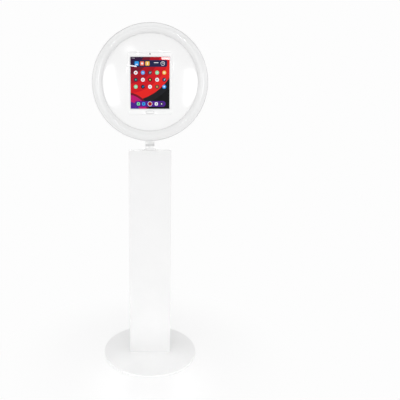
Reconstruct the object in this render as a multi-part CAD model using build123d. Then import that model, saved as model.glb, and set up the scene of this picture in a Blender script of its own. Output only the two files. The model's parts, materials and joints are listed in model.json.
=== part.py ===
from build123d import *
import math
import os

os.makedirs("parts", exist_ok=True)

# Tablet photo booth, millimetres. +Z up, the screen faces -Y, +X to the right
# as seen from the front. Origin on the floor under the centre of the base.

# ---------------------------------------------------------------- dimensions
BASE_R = 203.0          # floor plate, 16 inch
BASE_T = 8.0
FOOT_T = 3.0
Z_PLATE = FOOT_T + BASE_T   # top of the floor plate
COL_W = 178.0           # column width
COL_Y0 = -28.0          # column front face
COL_Y1 = 72.0           # column back
SHEET = 1.5
Z_SHELL = 898.0         # top of the column shell
CAP_T = 5.0
Z_CAP = Z_SHELL + CAP_T     # top of the cap
MY = 22.0               # mast axis, Y
MAST_R = 16.0
GUIDE_RI = 21.0
GUIDE_RO = 24.0
COLLAR_R = 30.0
SLEEVE_R = 19.7
Z_SLEEVE = 920.2        # top of the collar sleeve
NECK_R = 19.5
Z_BAND0 = 920.5         # grey band
Z_BAND1 = 928.8
Z_POST = 1098.0         # top of the post tube
PIV_Z = 1130.0          # tilt axis height
ZC = 1175.0             # centre of the ring
RING_R = 230.0          # ring light outer radius (18 inch)
DISC_R = 186.5
Y_RIM = -60.0           # front edge of the housing
DIF_C = 207.5           # middle of the diffuser's half round
DIF_R = 21.0
Y_BACK = -12.0          # rear face of the rear cover
ZS = ZC - 2.0           # centre of the screen
SCR_W, SCR_H = 155.5, 207.3     # 10.2 inch, 3:4
TAB_W, TAB_H = 174.1, 250.6
Y_GLASS = -69.0
LOCK_Z = 880.0          # height lock knob
DOOR_Z0, DOOR_Z1 = 160.0, 780.0
HINGE_X, HINGE_Y = -70.0, 75.2
HINGES = (230.0, 650.0)         # lower ends of the two 60 mm hinges


# ------------------------------------------------------------------- helpers
def box(x0, x1, y0, y1, z0, z1):
    return Pos((x0 + x1) / 2, (y0 + y1) / 2, (z0 + z1) / 2) * Box(abs(x1 - x0), abs(y1 - y0), abs(z1 - z0))


def cylz(x, y, z0, z1, r):
    return Pos(x, y, (z0 + z1) / 2) * Cylinder(r, abs(z1 - z0))


def cyly(x, z, y0, y1, r):
    return Pos(x, (y0 + y1) / 2, z) * Rot(90, 0, 0) * Cylinder(r, abs(y1 - y0))


def cylx(y, z, x0, x1, r):
    return Pos((x0 + x1) / 2, y, z) * Rot(0, 90, 0) * Cylinder(r, abs(x1 - x0))


def front(y, x=0.0, z=0.0):
    """Sketch plane facing the viewer: local x is +X, local y is +Z, normal -Y."""
    return Plane(origin=(x, y, z), x_dir=(1, 0, 0), z_dir=(0, -1, 0))


def slab(sketch, y_front, y_rear, x=0.0, z=0.0):
    """A sketch drawn as seen from the front, from y_rear forward to y_front."""
    return extrude(front(y_rear, x, z) * sketch, amount=y_rear - y_front)


HEAD_AXIS = Axis((0, 0, ZC), (0, 1, 0))


def turned(points):
    """Solid of revolution about the head's axis from (radius, y) corners."""
    face = make_face(Polyline(*[(r, y) for r, y in points], close=True))
    return revolve(Pos(0, 0, ZC) * face, HEAD_AXIS, 360)


def ring_xz(r, n, a0=0.0):
    """n places on a circle about the head's axis."""
    for i in range(n):
        a = math.radians(a0 + 360.0 * i / n)
        yield r * math.sin(a), ZC + r * math.cos(a)


def csk_y(x, z, y_head, y_tip, r, rh, depth):
    """Countersunk screw along Y with its head at y_head."""
    s = 1 if y_tip > y_head else -1
    cone = Pos(x, y_head + s * depth / 2, z) * Rot(90 if s < 0 else -90, 0, 0) * Cone(rh, r, depth)
    return cone + cyly(x, z, y_head + s * depth, y_tip, r)


def lobed(r, lobe, n):
    sk = Circle(r)
    for i in range(n):
        a = 2 * math.pi * i / n
        sk = sk + Pos(r * math.cos(a), r * math.sin(a)) * Circle(lobe)
    return sk


done = []


def save(name, shape):
    shape.label = name
    export_step(shape, f"parts/{name}.step")
    done.append(name)


def group(parts):
    out = parts[0]
    for p in parts[1:]:
        out = out + p
    return out


# ---------------------------------------------------------------------- base
plate = cylz(0, 0, FOOT_T, Z_PLATE, BASE_R)
plate = fillet(plate.edges().filter_by(GeomType.CIRCLE).sort_by(Axis.Z)[-1], 2.0)
plate = chamfer(plate.edges().filter_by(GeomType.CIRCLE).sort_by(Axis.Z)[0], 0.8)
BOLTS = [(-70, -14), (70, -14), (-70, 56), (70, 56)]
for bx, by in BOLTS:
    plate -= cylz(bx, by, FOOT_T - 1, Z_PLATE + 1, 4.2)
    plate -= Pos(bx, by, FOOT_T + 2.3) * Cone(8.6, 4.0, 4.6)
save("base_plate", plate)

feet = []
for i in range(6):
    a = math.radians(30 + 60 * i)
    f = cylz(178 * math.cos(a), 178 * math.sin(a), 0, FOOT_T, 15)
    f = chamfer(f.edges().filter_by(GeomType.CIRCLE).sort_by(Axis.Z)[0], 0.8)
    feet.append(f)
save("base_feet", group(feet))

screws = []
for bx, by in BOLTS:
    screws.append(Pos(bx, by, FOOT_T + 2.2) * Cone(8.3, 4.0, 4.2) + cylz(bx, by, FOOT_T + 4.3, 24, 4.0)
                  - Pos(bx, by, FOOT_T + 1.0) * extrude(RegularPolygon(3.0, 6), 2.4))
save("base_screws", group(screws))

# -------------------------------------------------------------------- column
XW = COL_W / 2
frame_foot = box(-XW + 1.7, XW - 1.7, COL_Y0 + 1.7, 68.8, Z_PLATE, 41)
frame_foot -= box(-XW + 4.7, XW - 4.7, COL_Y0 + 4.7, 65.8, Z_PLATE + 4, 42)
frame_foot = fillet(frame_foot.edges().filter_by(Axis.Z).group_by(Axis.Y)[0], 2.2)
frame_foot = fillet(frame_foot.edges().filter_by(Axis.Z).group_by(Axis.Y)[-1], 2.2)
frame_foot -= box(-54, 54, -6, 48, Z_PLATE - 1, Z_PLATE + 5)
for bx, by in BOLTS:
    frame_foot += Pos(bx, by, Z_PLATE + 4) * extrude(RegularPolygon(8.0, 6), 7.0)
for bx, by in BOLTS:
    frame_foot -= cylz(bx, by, Z_PLATE - 1, 30, 4.05)
for sx in (-79.5, 79.5):
    frame_foot -= cyly(sx, 30, 60, 70, 2.05)
save("column_foot_frame", frame_foot)

outer = box(-XW, XW, COL_Y0, COL_Y1, Z_PLATE, Z_SHELL)
outer = fillet(outer.edges().filter_by(Axis.Z), 3.0)
inner = box(-XW + SHEET, XW - SHEET, COL_Y0 + SHEET, COL_Y1 - SHEET, Z_PLATE - 1, Z_SHELL + 1)
inner = fillet(inner.edges().filter_by(Axis.Z), 1.6)
shell = outer - inner - box(-72, 72, 60, 80, Z_PLATE - 1, Z_SHELL + 1)
PANEL_SCREWS = [(sx, sz) for sx in (-79.5, 79.5) for sz in (30, 190, 400, 540, 790, 872)]
for sx, sz in PANEL_SCREWS:
    shell -= cyly(sx, sz, 69, 74, 2.1)
save("column_shell", shell)

rear = box(-XW + 3.2, XW - 3.2, 69.0, 70.5, Z_PLATE, Z_SHELL - 0.2)
rear -= box(-58, 58, 60, 80, 175, 765)
rear -= box(-13.8, 13.8, 60, 80, 57.7, 116.3)
rear -= cyly(0, LOCK_Z, 60, 80, 6.5)
for i in range(9):
    for z0 in (800, 822):
        rear -= slab(SlotOverall(16, 3.2, rotation=90), 66, 72, -56 + 14 * i, z0 + 8)
for i in range(9):
    rear -= slab(SlotOverall(16, 3.2, rotation=90), 66, 72, -56 + 14 * i, 142)
for sx, sz in PANEL_SCREWS:
    rear -= cyly(sx, sz, 66, 74, 2.05)
save("column_rear_panel", rear)

screws = []
for sx, sz in PANEL_SCREWS:
    head = Pos(sx, 73.0, sz) * Rot(-90, 0, 0) * Cone(4.0, 2.6, 2.0)
    screws.append(head + cyly(sx, sz, 65, 72.0, 2.0)
                  - slab(RegularPolygon(1.5, 6), 72.6, 75, sx, sz))
save("rear_panel_screws", group(screws))

cap = box(-XW, XW, COL_Y0, COL_Y1, Z_SHELL, Z_CAP)
cap = fillet(cap.edges().filter_by(Axis.Z), 3.0)
cap = fillet(cap.faces().sort_by(Axis.Z)[-1].edges(), 1.2)
skirt = box(-XW + 1.7, XW - 1.7, COL_Y0 + 1.7, 68.8, Z_SHELL - 12, Z_SHELL)
skirt = fillet(skirt.edges().filter_by(Axis.Z), 2.2)
skirt -= box(-XW + 3.7, XW - 3.7, COL_Y0 + 3.7, 66.8, Z_SHELL - 13, Z_SHELL + 1)
skirt -= box(-9, 9, 60, 72, LOCK_Z - 9, LOCK_Z + 9)
cap += skirt
cap -= cylz(0, MY, Z_SHELL - 1, Z_CAP + 1, 18.1)
C_SCREWS = [(25 * math.cos(math.radians(a)), MY + 25 * math.sin(math.radians(a))) for a in (45, 135, 225, 315)]
for cx, cy in C_SCREWS:
    cap -= cylz(cx, cy, Z_SHELL - 1, Z_CAP + 1, 2.05)
save("column_top_cap", cap)

# ----------------------------------------------------- telescopic mast guide
guide = cylz(0, MY, 465, Z_SHELL, GUIDE_RO) + cylz(0, MY, Z_SHELL - 4, Z_SHELL, 40)
guide += cyly(0, LOCK_Z, MY + 20, 58, 9)
guide -= cylz(0, MY, 464, Z_SHELL + 1, GUIDE_RI)
guide -= cyly(0, LOCK_Z, MY + 15, 60, 4.06)
for cx, cy in C_SCREWS:
    guide -= cylz(cx, cy, Z_SHELL - 5, Z_SHELL + 1, 2.05)
save("mast_guide_tube", guide)

collar = cylz(0, MY, Z_CAP, Z_CAP + 5, COLLAR_R)
collar = fillet(collar.edges().filter_by(GeomType.CIRCLE).sort_by(Axis.Z)[-1], 1.2)
collar += cylz(0, MY, Z_CAP + 4, Z_SLEEVE, SLEEVE_R)
collar -= cylz(0, MY, Z_CAP - 1, Z_SLEEVE + 1, 18.1)
for cx, cy in C_SCREWS:
    collar -= cylz(cx, cy, Z_CAP - 1, Z_CAP + 6, 2.05)
    collar -= Pos(cx, cy, Z_CAP + 5 - 1.1) * Cone(2.0, 4.1, 2.3)
save("collar_flange", collar)

screws = []
for cx, cy in C_SCREWS:
    screws.append(Pos(cx, cy, Z_CAP + 5 - 1.2) * Cone(2.0, 3.9, 2.1) + cylz(cx, cy, Z_SHELL - 3.8, Z_CAP + 3, 2.0)
                  - Pos(cx, cy, Z_CAP + 3.6) * extrude(RegularPolygon(1.3, 6), 3))
save("collar_screws", group(screws))

bush = cylz(0, MY, 862, Z_SHELL - 0.1, 20.95) + cylz(0, MY, Z_SHELL - 1, Z_SLEEVE - 0.2, 18.0)
bush -= cylz(0, MY, 860, Z_SLEEVE + 1, MAST_R + 0.06)
bush -= cyly(0, LOCK_Z, MY + 10, 50, 4.6)
save("upper_guide_bush", bush)

mast = cylz(0, MY, 480, Z_BAND0, MAST_R) - cylz(0, MY, 479, Z_BAND0 + 1, 13.5)
save("mast_tube", mast)

lower = cylz(0, MY, 480, 512, GUIDE_RI - 0.08) - cylz(0, MY, 479, 513, MAST_R)
save("lower_guide_bush", lower)

hub = cylz(0, MY, Z_BAND0, Z_BAND1, NECK_R)
hub = chamfer(hub.edges().filter_by(GeomType.CIRCLE), 0.5)
hub += cylz(0, MY, 888, Z_BAND0 + 1, 13.45) + cylz(0, MY, Z_BAND1 - 1, 985, 10)
hub -= cylz(0, MY, 887, 986, 6.5)
hub -= cylz(0, MY, 979.6, 981.0, 11) - cylz(0, MY, 979.5, 981.1, 9.2)
save("swivel_hub", hub)

clip = cylz(0, MY, 979.7, 980.9, 12.5) - cylz(0, MY, 979, 982, 9.25)
clip -= box(-3.5, 3.5, MY + 6, MY + 14, 979, 982)
save("swivel_circlip", clip)

# ---------------------------------------------------------------------- post
post = cylz(0, MY, Z_BAND1 + 0.3, Z_POST, NECK_R)
post = chamfer(post.edges().filter_by(GeomType.CIRCLE).sort_by(Axis.Z)[0], 0.5)
post -= cylz(0, MY, Z_BAND1 - 1, Z_POST + 1, 17.0)
save("post_tube", post)

pb = [cylz(0, MY, z0, z1, 16.98) - cylz(0, MY, z0 - 1, z1 + 1, 10.06) for z0, z1 in ((929.4, 944), (961, 979.3))]
save("post_bushes", group(pb))

kn = cylz(0, MY, 1062, Z_POST, 16.95) + cylz(0, MY, Z_POST, Z_POST + 6, NECK_R)
kn += box(-15, 15, MY - 16, MY + 16, Z_POST + 5, PIV_Z) + cylx(MY, PIV_Z, -15, 15, 16)
kn -= cylx(MY, PIV_Z, -16, 16, 5.06)
kn -= cylz(0, MY, 1061, 1112, 7)
kn -= Pos(0, MY + 8, 1108) * Rot(-35, 0, 0) * Cylinder(5.5, 40)
save("post_knuckle", kn)

# ------------------------------------------------------------ tilt bracket
BR_SCREWS = [(sx, PIV_Z + sz) for sx in (-26, 26) for sz in (-34, 34)]
tb = slab(RectangleRounded(68, 88, 6), Y_BACK + 0.0, Y_BACK + 4.0, 0, PIV_Z)
ear = make_face(Polyline((Y_BACK + 3.5, PIV_Z - 30), (Y_BACK + 3.5, PIV_Z + 30), (MY + 2, PIV_Z + 15.9),
                         (MY + 2, PIV_Z - 15.9), close=True))
ear_pl = Plane(origin=(0, 0, 0), x_dir=(0, 1, 0), z_dir=(1, 0, 0))
for x0 in (16.0, -20.0):
    e = Pos(x0, 0, 0) * extrude(ear_pl * ear, 4.0) + cylx(MY, PIV_Z, x0, x0 + 4, 16)
    tb += e
tb -= cylx(MY, PIV_Z, -21, 21, 5.0)
for sx, sz in BR_SCREWS:
    tb -= cyly(sx, sz, Y_BACK - 1, Y_BACK + 5, 3.1)
tb -= cyly(0, PIV_Z, Y_BACK - 1, Y_BACK + 5, 8)
save("tilt_bracket", tb)

screws = []
for sx, sz in BR_SCREWS:
    hd = cyly(sx, sz, Y_BACK + 4.0, Y_BACK + 7.4, 5.0)
    hd = fillet(hd.edges().filter_by(GeomType.CIRCLE).sort_by(Axis.Y)[-1], 1.2)
    screws.append(hd + cyly(sx, sz, -44, Y_BACK + 4.5, 3.0)
                  - slab(RegularPolygon(2.2, 6), Y_BACK + 5.2, Y_BACK + 9, sx, sz))
save("bracket_screws", group(screws))

bolt = cylx(MY, PIV_Z, -20.0, 38, 5.0)
bolt += Plane(origin=(-27.0, MY, PIV_Z), x_dir=(0, 1, 0), z_dir=(1, 0, 0)) * extrude(RegularPolygon(9.8, 6), 7.0)
save("tilt_bolt", bolt)

ws = [cylx(MY, PIV_Z, x0, x0 + 0.85, 13) - cylx(MY, PIV_Z, x0 - 1, x0 + 2, 5.0) for x0 in (15.15, -16.0)]
save("tilt_washers", group(ws))

tk_pl = Plane(origin=(23.0, MY, PIV_Z), x_dir=(0, 1, 0), z_dir=(1, 0, 0))
tk = extrude(tk_pl * lobed(15.0, 4.6, 6), 22.0)
tk = fillet(tk.edges().group_by(Axis.X)[-1], 1.6)
tk += cylx(MY, PIV_Z, 20.4, 24, 9.5)
tk -= cylx(MY, PIV_Z, 20, 39, 5.06)
save("tilt_knob", tk)

# ----------------------------------------------------------- height lock knob
hk_pl = Plane(origin=(0, 76.0, LOCK_Z), x_dir=(1, 0, 0), z_dir=(0, 1, 0))
hk = extrude(hk_pl * lobed(15.0, 4.6, 6), 22.0)
hk = fillet(hk.edges().group_by(Axis.Y)[-1], 1.6)
hk += cyly(0, LOCK_Z, 71.2, 77, 9.0)
hk += cyly(0, LOCK_Z, MY + MAST_R + 0.3, 80, 4.0)
save("height_lock_knob", hk)

# ---------------------------------------------------------------- head shells
ROD = math.radians
chassis = turned([(0, -40), (200, -40), (200, -37.5), (0, -37.5)])
for sx, sz in BR_SCREWS:
    chassis += cyly(sx, sz, -38.0, Y_BACK - 2.6, 6)
    chassis -= cyly(sx, sz, -45, -10, 3.05)
chassis -= cyly(0, ZC - 166, -45, -30, 8)
chassis -= slab(SlotOverall(20, 9, rotation=90), -45, -30, 34.7, ZC + 153)
CH_SCREWS = list(ring_xz(191.5, 8, 22.5))
for sx, sz in CH_SCREWS:
    chassis -= cyly(sx, sz, -45, -30, 2.05)
for sgn in (-1, 1):
    chassis -= slab(SlotOverall(150, 44, rotation=90), -45, -30, sgn * 128, ZC)
STAND = [(sx, ZS + sz) for sx in (-74, 74) for sz in (-112, 112)]
for sx, sz in STAND:
    chassis -= cyly(sx, sz, -45, -30, 2.05)
save("chassis_plate", chassis)

cover = turned([(0, -12), (150, -12), (158, -13.2), (168, -16.6), (208, -32.0), (224, -35.2), (229.5, -37.2), (229.5, -40),
                (206, -40), (203.5, -34.2), (167, -19.3), (157.5, -15.8), (149.6, -14.5), (0, -14.5)])
for sx, sz in BR_SCREWS:
    cover -= cyly(sx, sz, -20, 0, 3.1)
cover -= cyly(0, PIV_Z, -20, 0, 8)
KN_X, KN_Z = 78.0, ZC + 62.0
cover -= cyly(KN_X, KN_Z, -20, 0, 4.2)
for i in range(9):
    cover -= slab(SlotOverall(44, 3.6, rotation=90), -20, 0, -48 + 12 * i, ZC + 118)
    cover -= slab(SlotOverall(30, 3.6, rotation=90), -20, 0, -48 + 12 * i, ZC - 128)
RC_SCREWS = list(ring_xz(217, 8, 0))
for sx, sz in RC_SCREWS:
    cover -= cyly(sx, sz, -42, -20, 2.1)
    cover -= cyly(sx, sz, -37.2, -20, 4.2)
save("rear_cover", cover)

screws = []
for sx, sz in RC_SCREWS:
    screws.append(cyly(sx, sz, -37.2, -35.4, 3.8) + cyly(sx, sz, -41.8, -37.0, 2.0)
                  - slab(RegularPolygon(1.5, 6), -36.6, -34, sx, sz))
for sx, sz in CH_SCREWS:
    screws.append(cyly(sx, sz, -37.5, -35.5, 3.8) + cyly(sx, sz, -41.9, -37.3, 2.0))
save("housing_screws", group(screws))

housing = turned([(183, -64.8), (185, -64.8), (185, -42), (228.7, -42), (228.7, -62), (230, -62), (230, -40), (183, -40)])
housing = housing - cylz(30.8, -45.0, ZC + 172, ZC + 192, 1.8)
for sx, sz in RC_SCREWS:
    housing -= cyly(sx, sz, -45, -30, 2.05)
for sx, sz in CH_SCREWS:
    housing -= cyly(sx, sz, -45, -30, 2.05)
save("ring_housing", housing)

ringb = turned([(196.5, -43.6), (222, -43.6), (222, -42), (196.5, -42)])
for sx, sz in RC_SCREWS:
    ringb -= cyly(sx, sz, -45, -30, 2.4)
save("led_ring_board", ringb)

N_LED = 60
chips = []
for k, (rr, off) in enumerate(((203.0, 0.0), (211.5, 3.0))):
    for i in range(N_LED):
        a = off + 360.0 / N_LED * i
        chips.append(Pos(0, 0, ZC) * Rot(0, a, 0) * Pos(rr, -44.4, 0) * Box(5.0, 1.6, 5.0))
save("led_chips", Compound(children=chips))

# Opal diffuser: a half round with two straight feet.
RO, RI = DIF_R, DIF_R - 2.5
pr = [Line((DIF_C - RO, -47), (DIF_C - RO, -60)), ThreePointArc((DIF_C - RO, -60), (DIF_C, -60 - RO), (DIF_C + RO, -60)),
      Line((DIF_C + RO, -60), (DIF_C + RO, -47)), Line((DIF_C + RO, -47), (DIF_C + RI, -47)),
      Line((DIF_C + RI, -47), (DIF_C + RI, -60)), ThreePointArc((DIF_C + RI, -60), (DIF_C, -60 - RI), (DIF_C - RI, -60)),
      Line((DIF_C - RI, -60), (DIF_C - RI, -47)), Line((DIF_C - RI, -47), (DIF_C - RO, -47))]
diff_face = make_face(Curve() + pr)
diffuser = revolve(Pos(0, 0, ZC) * diff_face, HEAD_AXIS, 360)
save("ring_diffuser", diffuser)

# Front panel: shallow glossy dome, window and rear pocket for the tablet.
SAG = 3.0


def dome(r, y0):
    return y0 + SAG * (r / DISC_R) ** 2


pr = [ThreePointArc((0, -72), (93, dome(93, -72)), (185.4, dome(185.4, -72))),
      Line((185.4, dome(185.4, -72)), (DISC_R, dome(DISC_R, -72) + 1.0)),
      Line((DISC_R, dome(DISC_R, -72) + 1.0), (DISC_R, dome(DISC_R, -68))),
      ThreePointArc((DISC_R, dome(DISC_R, -68)), (93, dome(93, -68)), (0, -68)),
      Line((0, -68), (0, -72))]
panel = revolve(Pos(0, 0, ZC) * make_face(Curve() + pr), HEAD_AXIS, 360)
panel -= slab(RectangleRounded(174.9, 251.4, 12.4), Y_GLASS - 0.1, -50, 0, ZS)
panel -= slab(RectangleRounded(172.4, 241.0, 9.0), -80, -50, 0, ZS - 3.0)
# relief behind the panel for the charge lead and its plug
panel -= box(-7.5, 7.5, -68.4, -60, ZC - 176, ZS - 124)
save("front_panel", panel)

# ------------------------------------------------------------- tablet pieces
KEY_W, KEY_H, KEY_Z = 33.0, 11.4, ZS - 113.6
glass = slab(RectangleRounded(TAB_W, TAB_H, 12.0), Y_GLASS, Y_GLASS + 0.8, 0, ZS)
glass -= slab(SlotOverall(KEY_W + 0.5, KEY_H + 0.5), -75, -60, 0, KEY_Z)
save("cover_glass", glass)

disp = slab(RectangleRounded(SCR_W, SCR_H, 0.6), Y_GLASS + 0.8, Y_GLASS + 2.8, 0, ZS)
save("display_panel", disp)

body = slab(RectangleRounded(TAB_W, TAB_H, 12.0), Y_GLASS + 0.8, Y_GLASS + 7.5, 0, ZS)
body = fillet(body.faces().sort_by(Axis.Y)[-1].edges(), 1.8)
cav = slab(RectangleRounded(TAB_W - 3.0, TAB_H - 3.0, 10.5), Y_GLASS + 0.7, Y_GLASS + 6.5, 0, ZS)
cav -= box(-22, 22, -80, -50, KEY_Z - 9, KEY_Z + 9) - box(-KEY_W / 2 - 0.6, KEY_W / 2 + 0.6, -80, Y_GLASS + 3.6, KEY_Z - KEY_H / 2 - 0.6, KEY_Z + KEY_H / 2 + 0.6)
body -= cav
body -= box(-5.2, 5.2, Y_GLASS + 2.4, Y_GLASS + 5.4, ZS - TAB_H / 2 - 1, ZS - TAB_H / 2 + 3)
PW_X, VU_Z, VD_Z = 50.0, ZS + 88.0, ZS + 70.0
KY = Y_GLASS + 4.0
body -= box(PW_X - 5.6, PW_X + 5.6, KY - 1.3, KY + 1.3, ZS + TAB_H / 2 - 2.5, ZS + TAB_H / 2 + 1)
for kz in (VU_Z, VD_Z):
    body -= box(TAB_W / 2 - 2.5, TAB_W / 2 + 1, KY - 1.3, KY + 1.3, kz - 5.6, kz + 5.6)
save("tablet_body", body)

bat = slab(RectangleRounded(146, 128, 3), Y_GLASS + 3.0, Y_GLASS + 6.2, 0, ZS - 22)
save("tablet_battery", bat)
brd = box(-62, 48, Y_GLASS + 3.2, Y_GLASS + 4.2, ZS + 54, ZS + 106)
for cx, cz, cw, ch in ((-30, 88, 18, 18), (4, 92, 14, 12), (-6, 70, 22, 14), (30, 80, 10, 24)):
    brd += box(cx - cw / 2, cx + cw / 2, Y_GLASS + 4.0, Y_GLASS + 5.6, ZS + cz - ch / 2, ZS + cz + ch / 2)
save("tablet_mainboard", brd)

CAM_Z = ZS + 111.3
lens = cyly(0, CAM_Z, Y_GLASS + 0.8, Y_GLASS + 4.8, 3.4)
save("camera_lens", lens)

key = slab(SlotOverall(KEY_W, KEY_H), Y_GLASS - 0.1, Y_GLASS + 2.6, 0, KEY_Z)
save("home_key", key)

pk = box(PW_X - 5.3, PW_X + 5.3, KY - 1.0, KY + 1.0, ZS + TAB_H / 2 - 1.6, ZS + TAB_H / 2 + 0.5)
save("tablet_power_key", pk)
for nm, kz in (("tablet_volume_up_key", VU_Z), ("tablet_volume_down_key", VD_Z)):
    save(nm, box(TAB_W / 2 - 1.6, TAB_W / 2 + 0.5, KY - 1.0, KY + 1.0, kz - 5.3, kz + 5.3))

# Tray behind the tablet, with four cushioned corners.
tray = slab(RectangleRounded(183, 259.6, 8), -58.0, -56.5, 0, ZS)
tray -= slab(RectangleRounded(110, 170, 12), -60, -50, 0, ZS)
wall = slab(RectangleRounded(183, 259.6, 8), -64.5, -58.0, 0, ZS) - slab(RectangleRounded(180, 256.6, 6.5), -66, -56, 0, ZS)
wall -= box(-60, 60, -70, -57.9, ZS - 140, ZS + 140)
wall -= box(-100, 100, -70, -57.9, ZS - 95, ZS + 95)
tray += wall
for sx, sz in STAND:
    tray -= cyly(sx, sz, -60, -50, 2.05)
save("tablet_tray", tray)

pads = []
for sx in (-1, 1):
    for sz in (-1, 1):
        p = box(sx * 66, sx * 89.8, -64.4, -58.05, ZS + sz * 101, ZS + sz * 128.1)
        p = p - slab(RectangleRounded(TAB_W + 0.4, TAB_H + 0.4, 12.2), -70, Y_GLASS + 7.6, 0, ZS)
        p = p & slab(RectangleRounded(179.6, 256.2, 6.3), -70, -50, 0, ZS)
        p = p - cyly(sx * 74, ZS + sz * 112, -70, -50, 4.2)
        pads.append(p)
save("tablet_corner_pads", group(pads))

st = [cyly(sx, sz, -56.5, -40.0, 5) + cyly(sx, sz, -61.2 + 0.6, -56.0, 2.0) + cyly(sx, sz, -60.6, -58.0, 3.6) + cyly(sx, sz, -40.5, -36.0, 2.0)
      + cyly(sx, sz, -37.5, -35.0, 3.8) for sx, sz in STAND]
save("tray_standoffs", group(st))

# --------------------------------------------------------- driver and leads
drv = box(10, 100, -36.6, -31, ZC + 30, ZC + 90) + box(14, 60, -31.2, -19, ZC + 38, ZC + 84)
drv += cyly(KN_X, KN_Z, -31.2, -18, 8)
drv -= cyly(KN_X, KN_Z, -30, -17, 3.06)
drv -= cyly(30, ZC + 90, -25, -20, 0.1)
save("led_driver", drv)

dk = cyly(KN_X, KN_Z, -11.4, 2.6, 12)
dk = fillet(dk.edges().filter_by(GeomType.CIRCLE).sort_by(Axis.Y)[-1], 1.5)
for i in range(18):
    a = 2 * math.pi * i / 18
    dk -= cyly(KN_X + 12.5 * math.cos(a), KN_Z + 12.5 * math.sin(a), -9.5, 5, 1.0)
dk += cyly(KN_X, KN_Z, -29.5, -11.0, 3.0)
dk -= box(KN_X - 0.7, KN_X + 0.7, 1.8, 4, KN_Z + 4, KN_Z + 11)
save("dimmer_knob", dk)

PLUG_Y = Y_GLASS + 3.9
plug = box(-4.6, 4.6, PLUG_Y - 1.2, PLUG_Y + 1.2, ZS - TAB_H / 2 - 1.0, ZS - TAB_H / 2 + 2.6)
plug += box(-6.2, 6.2, PLUG_Y - 2.9, PLUG_Y + 2.9, ZS - TAB_H / 2 - 16.0, ZS - TAB_H / 2 - 1.0)

z_a = ZS - TAB_H / 2 - 16.0
pts = [(0, PLUG_Y, z_a), (0, PLUG_Y, ZC - 166), (0, -26.2, ZC - 166), (0, -26.2, ZC + 20), (30, -26.2, ZC + 20), (30, -26.2, ZC + 38)]
path = FilletPolyline(*pts, radius=[11, 16, 13, 8.0])
lead = sweep(Plane(origin=pts[0], z_dir=(0, 0, -1)) * Circle(1.8), path)
print("charge lead volume", round(lead.volume, 1), "section x length", round(math.pi * 1.8 ** 2 * path.length, 1), "length", round(path.length, 1))
save("charge_lead", lead + plug)

p2 = [(40, -26.2, ZC + 84), (40, -26.2, ZC + 138), (32, -44.8, ZC + 160), (30, -45.0, ZC + 197)]
path = FilletPolyline(*p2, radius=[22, 22])
lead = sweep(Plane(origin=p2[0], z_dir=(0, 0, 1)) * Circle(1.2), path)
print("led lead volume", round(lead.volume, 1), "section x length", round(math.pi * 1.2 ** 2 * path.length, 1), "length", round(path.length, 1))
save("led_lead", lead)

# ------------------------------------------------------------- service door
door = box(-66, 70, 71.0, 73.0, DOOR_Z0, DOOR_Z1)
door = fillet(door.edges().filter_by(Axis.Y).group_by(Axis.X)[-1], 4)
door -= cyly(46, 470, 60, 80, 8.1)
for hz in HINGES:
    for dz in (12, 48):
        door -= cyly(-57, hz + dz, 70, 74, 1.6)
save("service_door", door)

fixed, moving, pins = [], [], []
for hz in HINGES:
    leaf = box(-86, HINGE_X + 0.5, 72.0, 73.6, hz, hz + 60)
    barrel = cylz(HINGE_X, HINGE_Y, hz, hz + 60, 3.4)
    f = leaf - box(HINGE_X - 4.2, HINGE_X + 5, 71, 80, hz + 19.8, hz + 40.2)
    f += barrel - box(HINGE_X - 6, HINGE_X + 6, 71, 80, hz + 19.8, hz + 40.2)
    for dz in (10, 50):
        f -= Pos(-79.5, 73.0, hz + dz) * Rot(-90, 0, 0) * Cone(1.6, 3.2, 1.4)
    f -= cylz(HINGE_X, HINGE_Y, hz - 1, hz + 61, 1.5)
    fixed.append(f)
    m = cylz(HINGE_X, HINGE_Y, hz + 20.1, hz + 39.9, 3.4) + box(HINGE_X, -50, 73.0, 74.6, hz + 20.1, hz + 39.9)
    m += box(-65.4, -50, 73.0, 74.6, hz, hz + 60)
    for dz in (12, 48):
        m += cyly(-57, hz + dz, 70.6, 74.8, 1.55) + cyly(-57, hz + dz, 74.6, 75.8, 2.8)
    m -= cylz(HINGE_X, HINGE_Y, hz + 19, hz + 41, 1.56)
    moving.append(m)
    pins.append(cylz(HINGE_X, HINGE_Y, hz, hz + 60, 1.5) + cylz(HINGE_X, HINGE_Y, hz + 60, hz + 61.5, 2.8) + cylz(HINGE_X, HINGE_Y, hz - 1.5, hz, 2.4))
save("hinge_leaves_fixed", group(fixed))
save("hinge_leaves_door", group(moving))
save("hinge_pins", group(pins))

cam = cyly(46, 470, 67.9, 75.4, 8.0)
cam = fillet(cam.edges().filter_by(GeomType.CIRCLE).sort_by(Axis.Y)[-1], 0.8)
cam += cyly(46, 470, 73.3, 74.3, 10.5)
cam += slab(SlotOverall(34, 12, rotation=90), 66.0, 68.0, 46, 481)
cam -= box(45.1, 46.9, 74.0, 76, 465.5, 474.5)
save("door_lock_cam", cam)

# ------------------------------------------------------------ mains and supply
inlet = slab(RectangleRounded(34, 66, 3), 70.5, 73.0, 0, 87) + box(-13.5, 13.5, 44, 70.6, 58, 116)
inlet -= slab(Pos(0, 0) * RectangleRounded(24.5, 17.0, 3), 57, 76, 0, 70.5)
inlet -= box(-10.3, 10.3, 57, 76, 86.6, 111.4)
inlet -= cylx(67.5, 99, -12.4, 12.4, 1.56)
for px, pz in ((-7, 68.5), (0, 72.5), (7, 68.5)):
    inlet += box(px - 1.0, px + 1.0, 56, 66, pz - 2.0, pz + 2.0)
save("inlet_module", inlet)

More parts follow.
